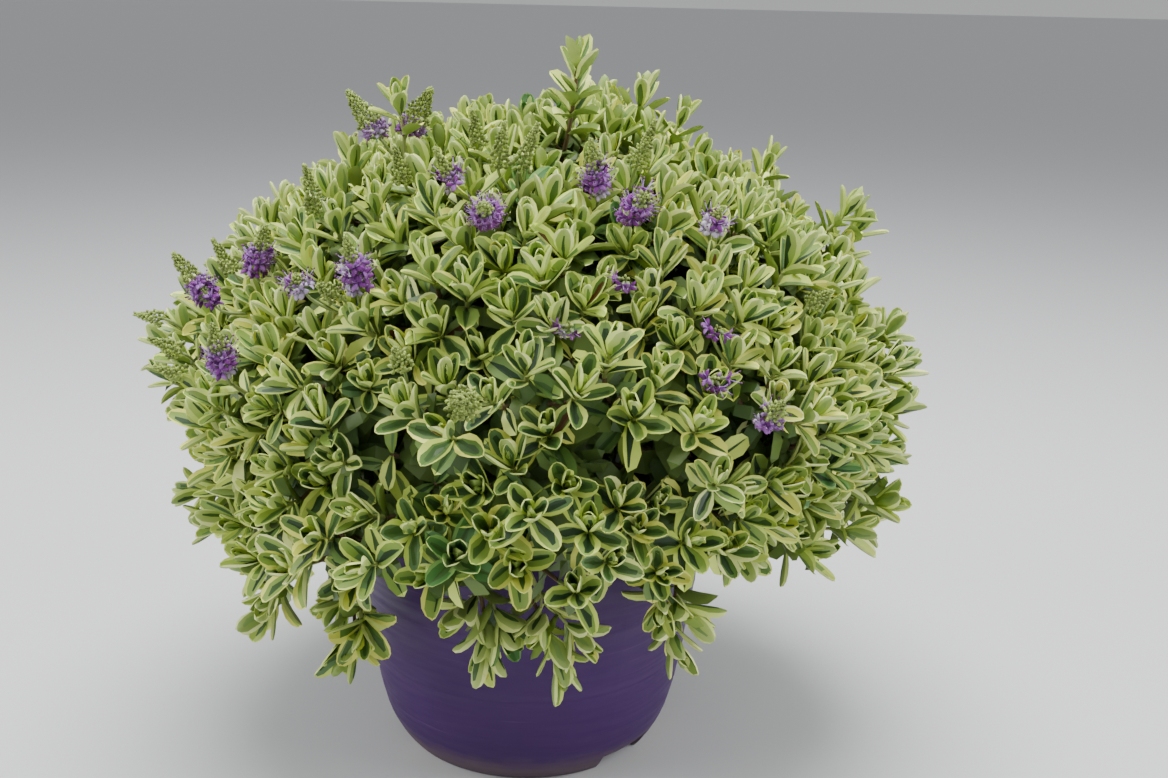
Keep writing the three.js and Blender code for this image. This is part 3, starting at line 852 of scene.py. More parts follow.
def bark_finish(settings):
    finish = Finish("grey brown bark")
    cloudy = finish.ramp(finish.noise((80, 80, 60), 5), 0.35, 0.68)
    base = finish.blend(cloudy, shade(settings.bark_colour, 0.62), shade(settings.bark_colour, 1.2))
    rings = finish.ramp(finish.noise((60, 60, 700), 5, 0.65), 0.52, 0.7)
    ringed = finish.blend(rings, base, tone(142, 124, 100))
    green = finish.ramp(finish.noise((45, 45, 45), 3), 0.55, 0.75, 0, 0.5)
    finish.lay("Base Color", finish.blend(green, ringed, tone(98, 104, 66)))
    finish.lay("Roughness", finish.ramp(cloudy, 0, 1, 0.9, 0.7))
    finish.relief(finish.noise((140, 140, 620), 6, 0.7), 0.7, 0.0012)
    return finish.material


# ---------- Pot, compost and wood ----------

MIDDLE = 40.0  # radius of the first ring of points under the pot and the compost
CRISP_EDGE = 50  # edges of the pot that turn by more degrees than this aren't shaded round
SOIL_CLEARANCE = 0.5
SETTLED = 3.0  # how far the compost's own surface lies below the highest crumbs
SOIL_COLUMNS = 96
SOIL_RINGS = 30
CRUMBS = 420
BARK_STEP = 2.2  # length of the rings of faces along a limb
SCAR_STEP = 9.0  # how far apart the leaf scars are
CRUMB = np.array([[1, 0, 0], [0, 1, 0], [-1, 0, 0], [0, -1, 0], [0, 0, 1], [0, 0, -1]], float)
CRUMB_FACES = [[0, 1, 4], [1, 2, 4], [2, 3, 4], [3, 0, 4], [1, 0, 5], [2, 1, 5], [3, 2, 5], [0, 3, 5]]


def pot_outline(foot):
    """The pot's outline: from the middle of its underside up the wall, over the lip and down inside."""
    groove = foot - FOOT_RING
    rim_foot = POT_HEIGHT - RIM_DROP
    rim = pot_radius(POT_HEIGHT) + RIM_DEPTH
    inside = pot_radius(POT_HEIGHT) - POT_WALL
    outline = [
        (MIDDLE, 0.0), (FLOOR_PAD_RADIUS, 0.0), (FLOOR_PAD_RADIUS + 0.8, 0.3),
        (FLOOR_PAD_RADIUS + DRAIN_HEIGHT / 2, DRAIN_HEIGHT - 0.4), (groove - 0.6, DRAIN_HEIGHT),
        (groove, DRAIN_HEIGHT - 0.4), (groove, 0.5), (groove + 0.6, 0.0), (foot - 1.2, 0.0),
    ]
    wall = [(pot_radius(z), z) for z in (0.5, 1.6, 3.4, 6.0, 9.0, 12.0, 15.5, 20.0, 25.0, 31.0, 38.0)]
    wall += [(pot_radius(z) - 0.1, z) for z in np.linspace(46, 146, 16)]
    for bead in BEADS:
        for shift, rise in ((-1.2, -0.1), (0, 0.22), (1.2, -0.1)):
            wall.append((pot_radius(bead) + rise, bead + shift))
    outline += sorted(wall, key=lambda point: point[1])
    outline += [
        (pot_radius(rim_foot - 4) - 0.15, rim_foot - 4), (pot_radius(rim_foot) - 0.1, rim_foot - 0.9),
        (pot_radius(rim_foot) + 0.4, rim_foot), (rim - 1.6, rim_foot + 0.4), (rim - 0.7, rim_foot + 1.2),
        (rim - 0.5, rim_foot + 2.4), (rim - 0.15, POT_HEIGHT - 5), (rim - 0.15, POT_HEIGHT - 1.6),
        (rim - 0.6, POT_HEIGHT - 0.6), (rim - 1.5, POT_HEIGHT), (inside + 1.2, POT_HEIGHT),
        (inside + 0.3, POT_HEIGHT - 0.6), (inside, POT_HEIGHT - 2), (pot_radius(150) - POT_WALL, 150),
        (pot_radius(60) - POT_WALL, 60), (pot_radius(30) - POT_WALL, 30),
        (pot_radius(POT_FLOOR) - POT_WALL, POT_FLOOR), (MIDDLE, POT_FLOOR),
    ]
    return np.array(outline)


def mould_pot(settings):
    """The pot: a foot ring with drain notches, a tapering wall, and a lip with rounded edges."""
    step = 360 / DRAINS
    foot = pot_radius(0.0)
    half = math.degrees(DRAIN_WIDTH / 2 / foot)
    within = [-half - 0.06, -half + 0.06, -half / 2, 0, half / 2, half - 0.06, half + 0.06]
    between = list(np.linspace(half + 1.4, step - half - 1.4, 34))
    turns = []
    notched = []
    for i in range(DRAINS):
        for place in [*within, *between]:
            turns.append(math.radians(DRAIN_TURN + step * i + place))
            notched.append(abs(place) < half)
    turns = np.array(turns)
    outline = pot_outline(foot)
    radii = np.tile(outline[:, 0], (len(turns), 1))
    heights = np.tile(outline[:, 1], (len(turns), 1))
    foot_rows = [row for row in range(6, len(outline)) if outline[row, 1] < DRAIN_HEIGHT]
    raised = DRAIN_HEIGHT + 0.02 * np.arange(len(foot_rows))
    heights[np.ix_(np.array(notched), foot_rows)] = raised
    waver = 0.12 * np.sin(3 * turns + 0.7) + 0.08 * np.sin(5 * turns)
    free = (outline[:, 1] > 20) & (outline[:, 1] < POT_HEIGHT - RIM_DROP - 2)
    radii[:, free] += waver[:, None] - 0.2
    heap = Heap()
    add_turned(heap, radii, heights, turns)
    pot = heap.build("pot_moulded", [pot_finish(settings)])
    pot.data.set_sharp_from_angle(angle=math.radians(CRISP_EDGE))
    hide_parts("pot")


def crumble_soil(settings):
    """The compost: an uneven crumbly surface just under the rim."""
    edge = pot_radius(SOIL_TOP) - POT_WALL - SOIL_CLEARANCE
    low = POT_FLOOR + GAP
    rings = np.linspace(edge, 3, SOIL_RINGS)
    radii = np.concatenate([[MIDDLE, pot_radius(low) - POT_WALL - SOIL_CLEARANCE, edge - 0.5], rings])
    flat = np.concatenate([[low, low, SOIL_TOP - 7], np.full(len(rings), SOIL_TOP - SETTLED)])
    turns = np.linspace(0, 2 * math.pi, SOIL_COLUMNS, endpoint=False)
    radii = np.tile(radii, (SOIL_COLUMNS, 1))
    heights = np.tile(flat, (SOIL_COLUMNS, 1))
    x = radii * np.cos(turns)[:, None]
    y = radii * np.sin(turns)[:, None]
    lumps = 1.1 * np.sin(x / 7.3 + 2) * np.sin(y / 8.1)
    lumps = lumps + 0.8 * np.sin(x / 3.1 + y / 5.2) + 0.6 * np.sin(y / 2.3 - x / 4)
    grains = spread(np.arange(radii.size).reshape(radii.shape) * 1.37, 0.9)
    on_top = np.arange(radii.shape[1]) >= 3
    heights += (lumps + grains) * on_top
    heap = Heap()
    add_turned(heap, radii, heights, turns)
    for i in range(CRUMBS):
        out = edge * math.sqrt(float(chance(i * 3 + 1))) * 0.97
        place = around(360 * float(chance(i + 0.3)), out, SOIL_TOP - 2.6)
        stretch = 0.6 + 0.8 * chance(i * 7 + np.arange(18)).reshape(6, 3)
        heap.add(place + CRUMB * stretch * (1.2 + 2.2 * float(chance(i * 5 + 2)) ** 2), CRUMB_FACES)
    soil = heap.build("compost_crumbs", [compost_finish(settings)])
    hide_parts("soil")


def grow_wood(settings):
    """The stem, boughs and branches, with leaf scars in rings and a rough, fissured skin."""
    finish = bark_finish(settings)
    for piece_name, start in (("stem_bark", "stem"), ("boughs_bark", "bough"), ("branches_bark", "branch")):
        names = [name for name in LIMBS if name.startswith(start)]
        heap = Heap()
        for number, name in enumerate(names):
            line, root, tip, flare = LIMBS[name]
            length = line_length(line)
            count = max(12, int(length / BARK_STEP))
            sides = 20 if name == "stem" else 12
            t = np.linspace(0, 1, count)
            turn = np.linspace(0, 2 * math.pi, sides, endpoint=False)
            radius = root + (tip - root) * t + flare * np.exp(-6 * t)
            scars = 0.09 * np.exp(-(((t * length / SCAR_STEP + 0.35 * number) % 1 - 0.5) / 0.12) ** 2)
            ridges = 0.05 * np.sin(3 * turn[None] + 5 * t[:, None] + number) * (1 - 0.5 * t[:, None])
            flakes = spread(np.arange(count * sides).reshape(count, sides) * 1.7 + 31 * number, 0.045)
            rough = 0.97 + scars[:, None] + ridges + flakes
            add_tube(heap, resample(line, count), radius[:, None] * rough, sides)
        piece = heap.build(piece_name, [finish])
        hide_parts(*names)


# ---------- Leaves ----------

EDGE, BLADE, STREAK, DARK, BACK_EDGE, BACK, OLD_AND_SHADED = range(7)

# The name and colours of each zone of a leaf. Every shoot is dealt one of each. The last edge and
# blade colours are for the few green shoots, and the last dark one is for a browned leaf. The colours
# of the old leaves are their duller green, deepened as painted shade for the inside of the crown.
LEAF_TONES = [
    ("pale edge", [
        (236, 246, 146), (228, 242, 128), (218, 236, 112), (240, 242, 120), (240, 248, 168), (124, 166, 90),
    ]),
    ("blade", [
        (186, 204, 94), (162, 186, 80), (198, 214, 106), (138, 166, 78), (204, 208, 88), (156, 180, 96),
        (68, 116, 56),
    ]),
    ("streak", [(106, 138, 70), (90, 124, 58), (122, 150, 84), (98, 132, 86)]),
    ("dark centre", [(50, 80, 42), (62, 94, 44), (40, 66, 40), (72, 104, 50), (84, 52, 24)]),
    ("underside edge", [(226, 238, 148), (214, 230, 130), (232, 242, 160)]),
    ("underside", [(156, 178, 92), (138, 162, 82), (170, 190, 104)]),
    ("old shaded leaf", [(84, 108, 50), (98, 122, 54), (68, 94, 44)]),
]

GREEN_SHARE = 0.022
BROWNED_SHARE = 0.012
OLDEST_PAIR = 7  # from here down a shoot the leaves are old and dull, and coloured darker as painted shade


def slot_of(zone):
    """The first material slot of a zone."""
    return sum(len(tones) for _, tones in LEAF_TONES[:zone])


class LeafPattern:
    """The points and faces of one kind of leaf: rows along the blade, columns across its upper side
    from edge to edge, and fewer columns across its underside between the same edges."""

    def __init__(self, rows, columns, under_columns):
        self.rows = np.array(rows)
        self.top_strips = len(columns) - 1
        self.under_strips = len(under_columns) + 1
        wide, deep = len(columns), len(rows)
        each = wide + len(under_columns)
        self.size = deep * each + 1
        under = [0, *range(wide, each), wide - 1]
        self.quads, self.quad_places, self.triangles, self.triangle_places = [], [], [], []
        for row in range(deep):
            here, ahead = row * each, (row + 1) * each
            for is_under, across in ((False, list(range(wide))), (True, under)):
                for strip, (a, b) in enumerate(zip(across[:-1], across[1:])):
                    if row < deep - 1:
                        face = (here + a, ahead + a, ahead + b, here + b)
                        self.quads.append(face[:1] + face[:0:-1] if is_under else face)
                        self.quad_places.append((row, strip, is_under))
                    else:
                        face = (here + a, self.size - 1, here + b)
                        self.triangles.append(face[:1] + face[:0:-1] if is_under else face)
                        self.triangle_places.append((row, strip, is_under))
        self.close_foot(columns, [-1, *under_columns, 1], under)
        self.quads = np.array(self.quads)
        self.triangles = np.array(self.triangles)
        self.x = np.append(np.repeat(self.rows, each), 1.0)
        self.u = np.append(np.tile([*columns, *under_columns], deep), 0.0)
        self.under = np.append(np.tile([0.0] * wide + [1.0] * len(under_columns), deep), 0.0)
        ribs = [u in (-1, 0, 1) for u in columns]
        self.creases = np.append(np.tile(ribs + [False] * len(under_columns), deep), True)

    def close_foot(self, columns, under_columns, under):
        """Closes the cut foot of the blade between its upper side and its underside."""
        a, b = 0, 0
        while a < len(columns) - 1 or b < len(under) - 1:
            past_top = a == len(columns) - 1
            step_under = past_top or (b < len(under) - 1 and under_columns[b + 1] <= columns[a + 1])
            corner = (under[b], a, under[b + 1]) if step_under else (under[b], a, a + 1)
            if len(set(corner)) == 3:
                self.triangles.append(corner)
                self.triangle_places.append((0, 0, True))
            a, b = (a, b + 1) if step_under else (a + 1, b)


def blade_width(x):
    """Half the width of a leaf along its length, as a share of its greatest: narrow foot, round end."""
    widest = 0.54
    foot = 0.24 + 0.76 * np.sin(np.clip(x / widest, 0, 1) * math.pi / 2) ** 1.1
    end = np.clip(1 - (np.clip(x - widest, 0, None) / (1 - widest)) ** 2.2, 0, 1) ** 0.5
    return np.where(x < widest, foot, end)


FINE_LEAF = LeafPattern(
    [0, 0.18, 0.4, 0.62, 0.82, 0.95], [-1, -0.8, -0.4, 0, 0.4, 0.8, 1], [-0.7, -0.2, 0.2, 0.7]
)
PLAIN_LEAF = LeafPattern([0, 0.3, 0.64, 0.9], [-1, -0.4, 0, 0.4, 1], [0])
BARE_LEAF = LeafPattern([0, 0.4, 0.85], [-1, 0, 1], [])

# How the zones lie in the leaves of a kind, from the palest kind to the darkest: the dark centre's
# width on the left and right of the midrib, where the pale edge starts, how far the centre runs
# towards the tip, and the colours of the centre and of the blade beside it.
LEAF_KINDS = [
    (0.14, 0.17, 0.80, 0.74, DARK, BLADE),
    (0.20, 0.24, 0.80, 0.82, STREAK, BLADE),
    (0.16, 0.27, 0.77, 0.82, DARK, BLADE),
    (0.25, 0.19, 0.75, 0.86, DARK, BLADE),
    (0.28, 0.28, 0.70, 0.88, STREAK, BLADE),
    (0.34, 0.18, 0.66, 0.82, DARK, BLADE),
    (0.20, 0.42, 0.64, 0.86, DARK, BLADE),
    (0.34, 0.36, 0.60, 0.90, DARK, STREAK),
]
KIND_SHARES = [0.12, 0.08, 0.18, 0.18, 0.08, 0.14, 0.12, 0.1]


def zones_of(pattern, kind, seed):
    """The zone of every face of a leaf of one kind, and its columns, which wander along the blade."""
    left, right, edge, run, centre, blade = LEAF_KINDS[kind]
    strips = pattern.top_strips
    streaked = (int(4 * float(chance(seed * 3.1))), int(4 * float(chance(seed * 4.7))))

    def zone_at(place):
        row, strip, is_under = place
        # bare leaves take the old leaves' duller green, deepened as painted shade
        if strips == 2:
            return OLD_AND_SHADED
        past = pattern.rows[row] + 0.12 > run
        if is_under:
            if pattern.under_strips > 2 and strip in (0, pattern.under_strips - 1):
                return BACK_EDGE
            middle = strip == (pattern.under_strips - 1) / 2
            return centre if middle and not past else BACK
        from_rib = abs(strip - (strips - 1) / 2)
        if from_rib < 1:
            return blade if past else centre
        if from_rib > 2 or row == len(pattern.rows) - 1:
            return EDGE
        if strips == 4:
            return EDGE if seed % 2 else blade
        return STREAK if row < streaked[strip > strips / 2] and not past else blade

    quads = [zone_at(place) for place in pattern.quad_places]
    triangles = [zone_at(place) for place in pattern.triangle_places]
    u = pattern.u.copy()
    for point in range(pattern.size - 1):
        where = abs(u[point])
        if where < 0.01 or where > 0.99:
            continue
        side = left if u[point] < 0 else right
        wander = spread(seed * 17 + point * 0.9, 1.0)
        along = pattern.x[point] / run
        if where < 0.6:
            swell = 0.35 + 0.75 * math.sin(math.pi * min(1.0, 0.14 + 0.86 * along)) ** 0.8
            place = max(0.05, side * swell * (1 + 0.6 * wander))
        else:
            place = (0.74 if pattern.under[point] else edge) + 0.08 * wander
        u[point] = math.copysign(min(0.94, place), u[point])
    return np.array(quads), np.array(triangles), u


def leaf_roots(shoot, scale):
    """Where the leaves of a shoot grow, and the stem's own way at each."""
    line = shoot["line"][::-1]
    along = np.concatenate([[0], np.cumsum(np.linalg.norm(np.diff(line, axis=0), axis=1))])
    ways = unit(-np.gradient(line, axis=0))
    rows = []
    seed = shoot["seed"]
    low = float(np.clip((CROWN_CENTRE[2] + 30 - line[0][2]) / 90, 0, 1))
    openness = 0.72 + 0.34 * float(chance(seed * 11 + 5)) + 0.22 * (1 - max(0.0, ways[0][2]))
    vigour = (0.86 + 0.28 * float(chance(seed * 13 + 8))) * (1 + LOW_LEAF * low)
    first_turn = 3 * float(chance(seed + 40))
    if shoot["slim"]:
        openness, vigour, first_turn = 1.0, 1.0, math.pi / 4
    first = OLDEST_PAIR - 1 if shoot["inner"] else 0
    for pair in range(first, first + min(shoot["pairs"], len(PAIRS))):
        down, length, lean, curl = PAIRS[min(pair, len(PAIRS) - 1)]
        if shoot["inner"]:
            down = INNER_STEP * (pair - first)
            length *= 1.25 if pair >= OLDEST_PAIR else 0.9
        if shoot["long"] and pair > 1:
            down = 2.5 + LONG_STEP * (pair - 1)
            length = LONG_LEAF
            lean = LONG_LEAN + 1.5 * pair
        down = min(down * (0.9 + 0.2 * float(chance(seed * 3 + pair))), along[-1] * 0.95)
        root = np.array([np.interp(down, along, line[:, k]) for k in range(3)])
        way = unit(np.array([np.interp(down, along, ways[:, k]) for k in range(3)]))
        look = min(pair, OLDEST_PAIR - 1) if shoot["long"] else pair
        for half in range(2):
            draw = seed * 7 + pair * 2 + half
            turn = math.pi * half + math.pi / 2 * pair + first_turn + spread(draw + 0.5, 0.2)
            angle = math.radians(min(100.0, lean * openness + spread(draw + 0.7, 9)))
            size = scale * vigour * length * (0.88 + 0.24 * float(chance(draw)))
            rows.append((root, way, turn, angle, size, curl + spread(draw + 0.9, 0.22), look, draw))
    return rows


def leaf_places(shoots, scale, width):
    """Every leaf's root, way, upper side, sizes, curl, fold and seeds, as arrays."""
    found = []
    for shoot in shoots:
        for root, stem, turn, angle, size, curl, pair, draw in leaf_roots(shoot, scale):
            level = np.array([-stem[1], stem[0], 0.0])
            level = np.array([1.0, 0.0, 0.0]) if np.linalg.norm(level) < 0.1 else unit(level)
            out = level * math.cos(turn) + np.cross(stem, level) * math.sin(turn)
            out = unit(out - stem * float(out @ stem))
            way = stem * math.cos(angle) + out * math.sin(angle)
            up = stem + np.array([0.0, 0.0, 0.2 if pair > 1 else 0.0])
            slim = 0.78 if pair == 0 else 1.0
            found.append({
                "root": root + out * 0.7,
                "way": way,
                "up": unit(up - way * float(up @ way)),
                "length": size,
                "width": size * width * slim * (0.88 + 0.26 * float(chance(draw + 0.2))),
                "curl": curl if abs(curl) > 0.02 else 0.02,
                "fold": 0.12 + 0.42 * float(chance(draw + 0.15)),
                "cup": 0.08 + 0.3 * float(chance(draw + 0.3)) + (0.25 if pair < 2 else 0),
                "twist": spread(draw + 0.4, 0.35),
                "pair": pair,
                "seed": shoot["seed"],
                "mass": shoot["mass"],
            })
    return {key: np.array([leaf[key] for leaf in found]) for key in found[0]}


def clear_leaves(leaves, spikes):
    """Which leaves are kept: none that would run into the pot's wall or through a flower spike."""
    keep = np.ones(len(leaves["length"]), bool)
    for share in (0.35, 0.7, 1.0):
        point = leaves["root"] + leaves["way"] * (leaves["length"] * share)[:, None]
        radius = np.hypot(point[:, 0], point[:, 1])
        in_wall = (point[:, 2] < POT_HEIGHT + 1.5) & (radius < pot_radius(point[:, 2]) + RIM_DEPTH + 1.5)
        keep &= ~in_wall
        for spike in spikes:
            low, high = spike["line"][0], spike["line"][-1]
            along = high - low
            t = np.clip(((point - low) @ along) / float(along @ along), 0, 1)
            gap = np.linalg.norm(point - low - t[:, None] * along, axis=1)
            keep &= gap > spike["room"]
    return keep


def add_leaves(heap, leaves, chosen, pattern, kind, variant):
    """Adds every chosen leaf of one kind to a heap."""
    quad_zones, triangle_zones, u = zones_of(pattern, kind, kind * 5 + variant + 1)
    root, way, up, length, width, curl, fold, cup, twist = [
        leaves[key][chosen][:, None]
        for key in ("root", "way", "up", "length", "width", "curl", "fold", "cup", "twist")
    ]
    x = pattern.x[None]
    u = u[None]
    half = width / 2 * blade_width(x)
    y = u * half
    z = (fold * np.abs(u) + cup * u**2) * half - pattern.under[None] * (0.4 + 0.08 * half)
    turn = twist * x
    y, z = y * np.cos(turn) - z * np.sin(turn), y * np.sin(turn) + z * np.cos(turn)
    forward = length * np.sin(curl * x) / curl - z * np.sin(curl * x)
    upward = length * (1 - np.cos(curl * x)) / curl + z * np.cos(curl * x)
    points = root + way * forward[..., None] + np.cross(up, way) * y[..., None] + up * upward[..., None]
    count = len(chosen)
    offset = (np.arange(count) * pattern.size)[:, None, None]
    picks = zone_picks(leaves, chosen)
    heap.add(
        points,
        (pattern.triangles[None] + offset).reshape(-1, 3),
        (pattern.quads[None] + offset).reshape(-1, 4),
        picks[:, triangle_zones].ravel(),
        picks[:, quad_zones].ravel(),
        np.tile(pattern.creases, count),
    )


def zone_picks(leaves, chosen):
    """The material slot of each zone, dealt out by shoot, with the darkest blade as painted shade for many
    leaves low in a whorl, which are older too, and for more round the shaded patch.
    """
    seed = leaves["seed"][chosen]
    pair = leaves["pair"][chosen]
    picks = np.zeros((len(chosen), len(LEAF_TONES)), int)
    dealt = {EDGE: 5, BLADE: 6, DARK: 4}
    for zone, (_, tones) in enumerate(LEAF_TONES):
        count = dealt.get(zone, len(tones))
        draw = chance(seed * (5 + 2 * zone) + zone) * 0.75 + chance(chosen * 0.37 + zone * 0.6) * 0.25
        picks[:, zone] = np.floor(draw * count)
    shade = leaves["shade"][chosen]
    # painted shade: leaves low in a whorl, and more of them round the shaded patch, take the darkest blade
    # colour
    deep = (pair > 3 - 3 * shade) & (chance(chosen * 0.61) < 0.55 + 0.4 * shade)
    picks[deep, BLADE] = 3
    green = chance(seed * 1.9) < GREEN_SHARE
    picks[green, EDGE] = 5
    picks[green, BLADE] = 6
    picks[chance(chosen * 0.83) < BROWNED_SHARE, DARK] = 4
    return picks + np.array([slot_of(zone) for zone in range(len(LEAF_TONES))])


def shade_of(points):
    """How near points of the crown lie to the patch that stands in shade, from 0 to 1."""
    ways = unit((points - CROWN_CENTRE) / CROWN_SIZE)
    return np.exp(-(1 - ways @ direction(*SPARSE_WAY)) / SHADE_WIDTH)


def leaf_groups():
    """The masses whose leaves are joined into one piece."""
    groups = {}
    for index, mass in enumerate(MASSES):
        turn = mass["azimuth"] % 360
        front = turn > 180
        if mass["ring"] == "top":
            name = "leaves_top"
        elif mass["ring"] == "upper":
            name = "leaves_upper_front" if front else "leaves_upper_back"
        elif mass["ring"] == "side":
            quarter = ["back_right", "back_left", "front_left", "front_right"][int(turn // 90)]
            name = f"leaves_side_{quarter}"
        else:
            name = "leaves_skirt_front" if front else "leaves_skirt_back"
        groups.setdefault(name, []).append(index)
    return groups


def dress_with_leaves(settings):
    """Whorls of cream-edged leaves on every shoot, joined by the part of the crown they are in."""
    _, shoots = lay_out_shoots(settings.shoots)
    leaves = leaf_places(shoots, settings.leaf_size, settings.leaf_width)
    keep = clear_leaves(leaves, lay_out_spikes(shoots))
    materials = []
    for word, tones in LEAF_TONES:
        for number, colour in enumerate(tones):
            materials.append(plain_finish(f"leaf {word} {number + 1}", tone(*colour), settings.leaf_gloss))
    index = np.arange(len(keep))
    height = np.clip((leaves["root"][:, 2] - POT_HEIGHT) / CROWN_SIZE[2], 0, 1)
    leaves["shade"] = shade_of(leaves["root"])
    kind_draw = chance(leaves["seed"] * 2.3) * 0.4 + chance(index * 0.71) * 0.4 - height * 0.12
    # painted shade: round the shaded patch the leaves draw darker kinds
    kind_draw += 0.45 * leaves["shade"]
    kinds = np.searchsorted(np.cumsum(KIND_SHARES), np.argsort(np.argsort(kind_draw)) / len(kind_draw))
    at_back = np.array([mass["azimuth"] % 360 < 180 for mass in MASSES])[leaves["mass"]]
    fine = (leaves["pair"] >= 2 + at_back) & (leaves["pair"] <= 5 - at_back)
    bare = leaves["pair"] >= OLDEST_PAIR
    for name, members in leaf_groups().items():
        heap = Heap()
        here = keep & np.isin(leaves["mass"], members)
        for kind in range(len(LEAF_KINDS)):
            for variant in range(2):
                mine = here & (kinds == kind) & (index // 2 % 2 == variant)
                for pattern, which in (
                    (FINE_LEAF, mine & fine), (PLAIN_LEAF, mine & ~fine & ~bare), (BARE_LEAF, mine & bare),
                ):
                    if which.any():
                        add_leaves(heap, leaves, index[which], pattern, kind, variant)
        piece = heap.build(name, materials)
        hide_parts(*[f"foliage_{MASSES[k]['label']}" for k in members])


def grow_twigs(settings):
    """Twigs that part from each mass's fork, and the green stems of the shoots."""
    twigs, shoots = lay_out_shoots(settings.shoots)
    heap = Heap()
    for mass in MASSES:
        line = mass_stem(mass)
        add_tube(heap, line, np.linspace(LIMB_TIP_RADIUS, 2.4, len(line)), 8)
    for twig in twigs:
        if twig["used"]:
            line = resample(twig["line"][: int(len(twig["line"]) * TWIG_FORK) + 1], 7)
            add_tube(heap, line, np.linspace(2.3, 1.7, 7), 6)
    for shoot in shoots:
        if shoot["inner"]:
            add_tube(heap, resample(shoot["line"], 4), np.linspace(1.8, 1.2, 4), 3)
            continue
        count = 14 if shoot["long"] else 6
        line = resample(shoot["line"], count)
        woody = 0.85 if shoot["long"] else 0.45
        slots = np.array([0 if i < count * woody else 1 for i in range(count - 1)])
        add_tube(heap, line, np.linspace(1.7, 0.9, count), 4, slots)
    brown = plain_finish("twig brown", tone(104, 84, 60), 0.8)
    green = plain_finish("young stem green", tone(140, 150, 84), 0.6)
    piece = heap.build("twigs", [brown, green])


# ---------- Flower spikes ----------

BUD_STEP = 0.2  # how far apart the buds follow each other up a slender spike
BUD_RINGS = ((0.34, 1.0), (0.74, 0.7))  # place along the bud and share of its radius
ANTHER_RINGS = ((0.5, 1.0),)


def lay_out_spikes(shoots):
    """Each flower spike's line, from its place on the crown along its own way."""
    tips = np.array([shoot["line"][-1] for shoot in shoots])
    spikes = []
    for number, (azimuth, elevation, over, *shape) in enumerate(SPIKES):
        turn, rise, length, girth, flowering, faded = shape
        way = direction(azimuth, elevation)
        surface = crown_point(way, crown_reach(way, 3))
        own = direction(turn, rise)
        foot = surface + over * growth(way)
        host = shoots[int(np.argmin(np.linalg.norm(tips - foot, axis=1)))]
        joint = point_at(host["line"], 0.8)
        head = foot + own * length
        spikes.append({
            "line": bezier([foot, foot + own * length * 0.5, head], 12),
            "stalk": bezier([joint, foot - own * 8, foot], 8),
            "length": length,
            "girth": girth,
            "flowering": flowering,
            "faded": faded,
            "seed": SPIKE_SEED + number,
            "room": girth * (7.0 if flowering > 0.2 else 5.0),
        })
    return spikes


def add_bud(heap, place, way, length, radius, slot, rings=BUD_RINGS):
    """A pointed egg of square rings."""
    side = unit(np.cross(way, [0.3, 0.5, 0.8]))
    over = np.cross(way, side)
    square = np.array([side, over, -side, -over])
    points = [place[None]]
    for along, wide in rings:
        points.append(place + way * length * along + square * radius * wide)
    points.append((place + way * length)[None])
    k = np.arange(4)
    after = (k + 1) % 4
    end = 4 * len(rings) + 1
    foot = np.stack([np.zeros(4, int), 1 + after, 1 + k], axis=1)
    head = np.stack([np.full(4, end), end - 4 + k, end - 4 + after], axis=1)
    quads = np.stack([1 + k, 1 + after, 5 + after, 5 + k], axis=1) if len(rings) > 1 else ()
    heap.add(np.concatenate(points), np.concatenate([foot, head]), quads, slot, slot)


def add_petal(heap, root, way, up, length, width, slot):
    """One lobe of a flower: a small pointed blade folded along its middle."""
    side = np.cross(up, way)
    shape = [(0.0, 0.28, 0.0), (0.45, 1.0, 0.1), (0.8, 0.72, 0.02)]
    points = []
    for along, wide, rise in shape:
        middle = root + way * length * along + up * length * rise
        edge = side * width / 2 * wide
        points += [middle + edge + up * 0.25, middle, middle - edge + up * 0.25, middle - up * 0.3]
    points.append(root + way * length - up * 0.1 * length)
    quads = []
    for row in range(2):
        a, b = row * 4, (row + 1) * 4
        quads += [(a, a + 1, b + 1, b), (a + 1, a + 2, b + 2, b + 1)]
        quads += [(a + 2, a + 3, b + 3, b + 2), (a + 3, a, b, b + 3)]
    triangles = [(8, 9, 12), (9, 10, 12), (10, 11, 12), (11, 8, 12), (0, 3, 1), (1, 3, 2)]
    heap.add(np.array(points), triangles, quads, slot, slot)


def add_stamen(heap, root, way, length, seed):
    """A thin filament with a plump anther at its end."""
    bend = root + way * length * 0.6
    end = root + way * length + np.array([spread(seed, 0.7), spread(seed + 1, 0.7), 0.5])
    line = bezier([root, bend, end], 4)
    add_tube(heap, line, [0.28, 0.24, 0.2, 0.2], 3, 0)
    add_bud(heap, end, unit(end - bend), 1.5, 0.55, 1, ANTHER_RINGS)


def finish_set(roughness, colours):
    return [plain_finish(name, colour, roughness) for name, colour in colours.items()]


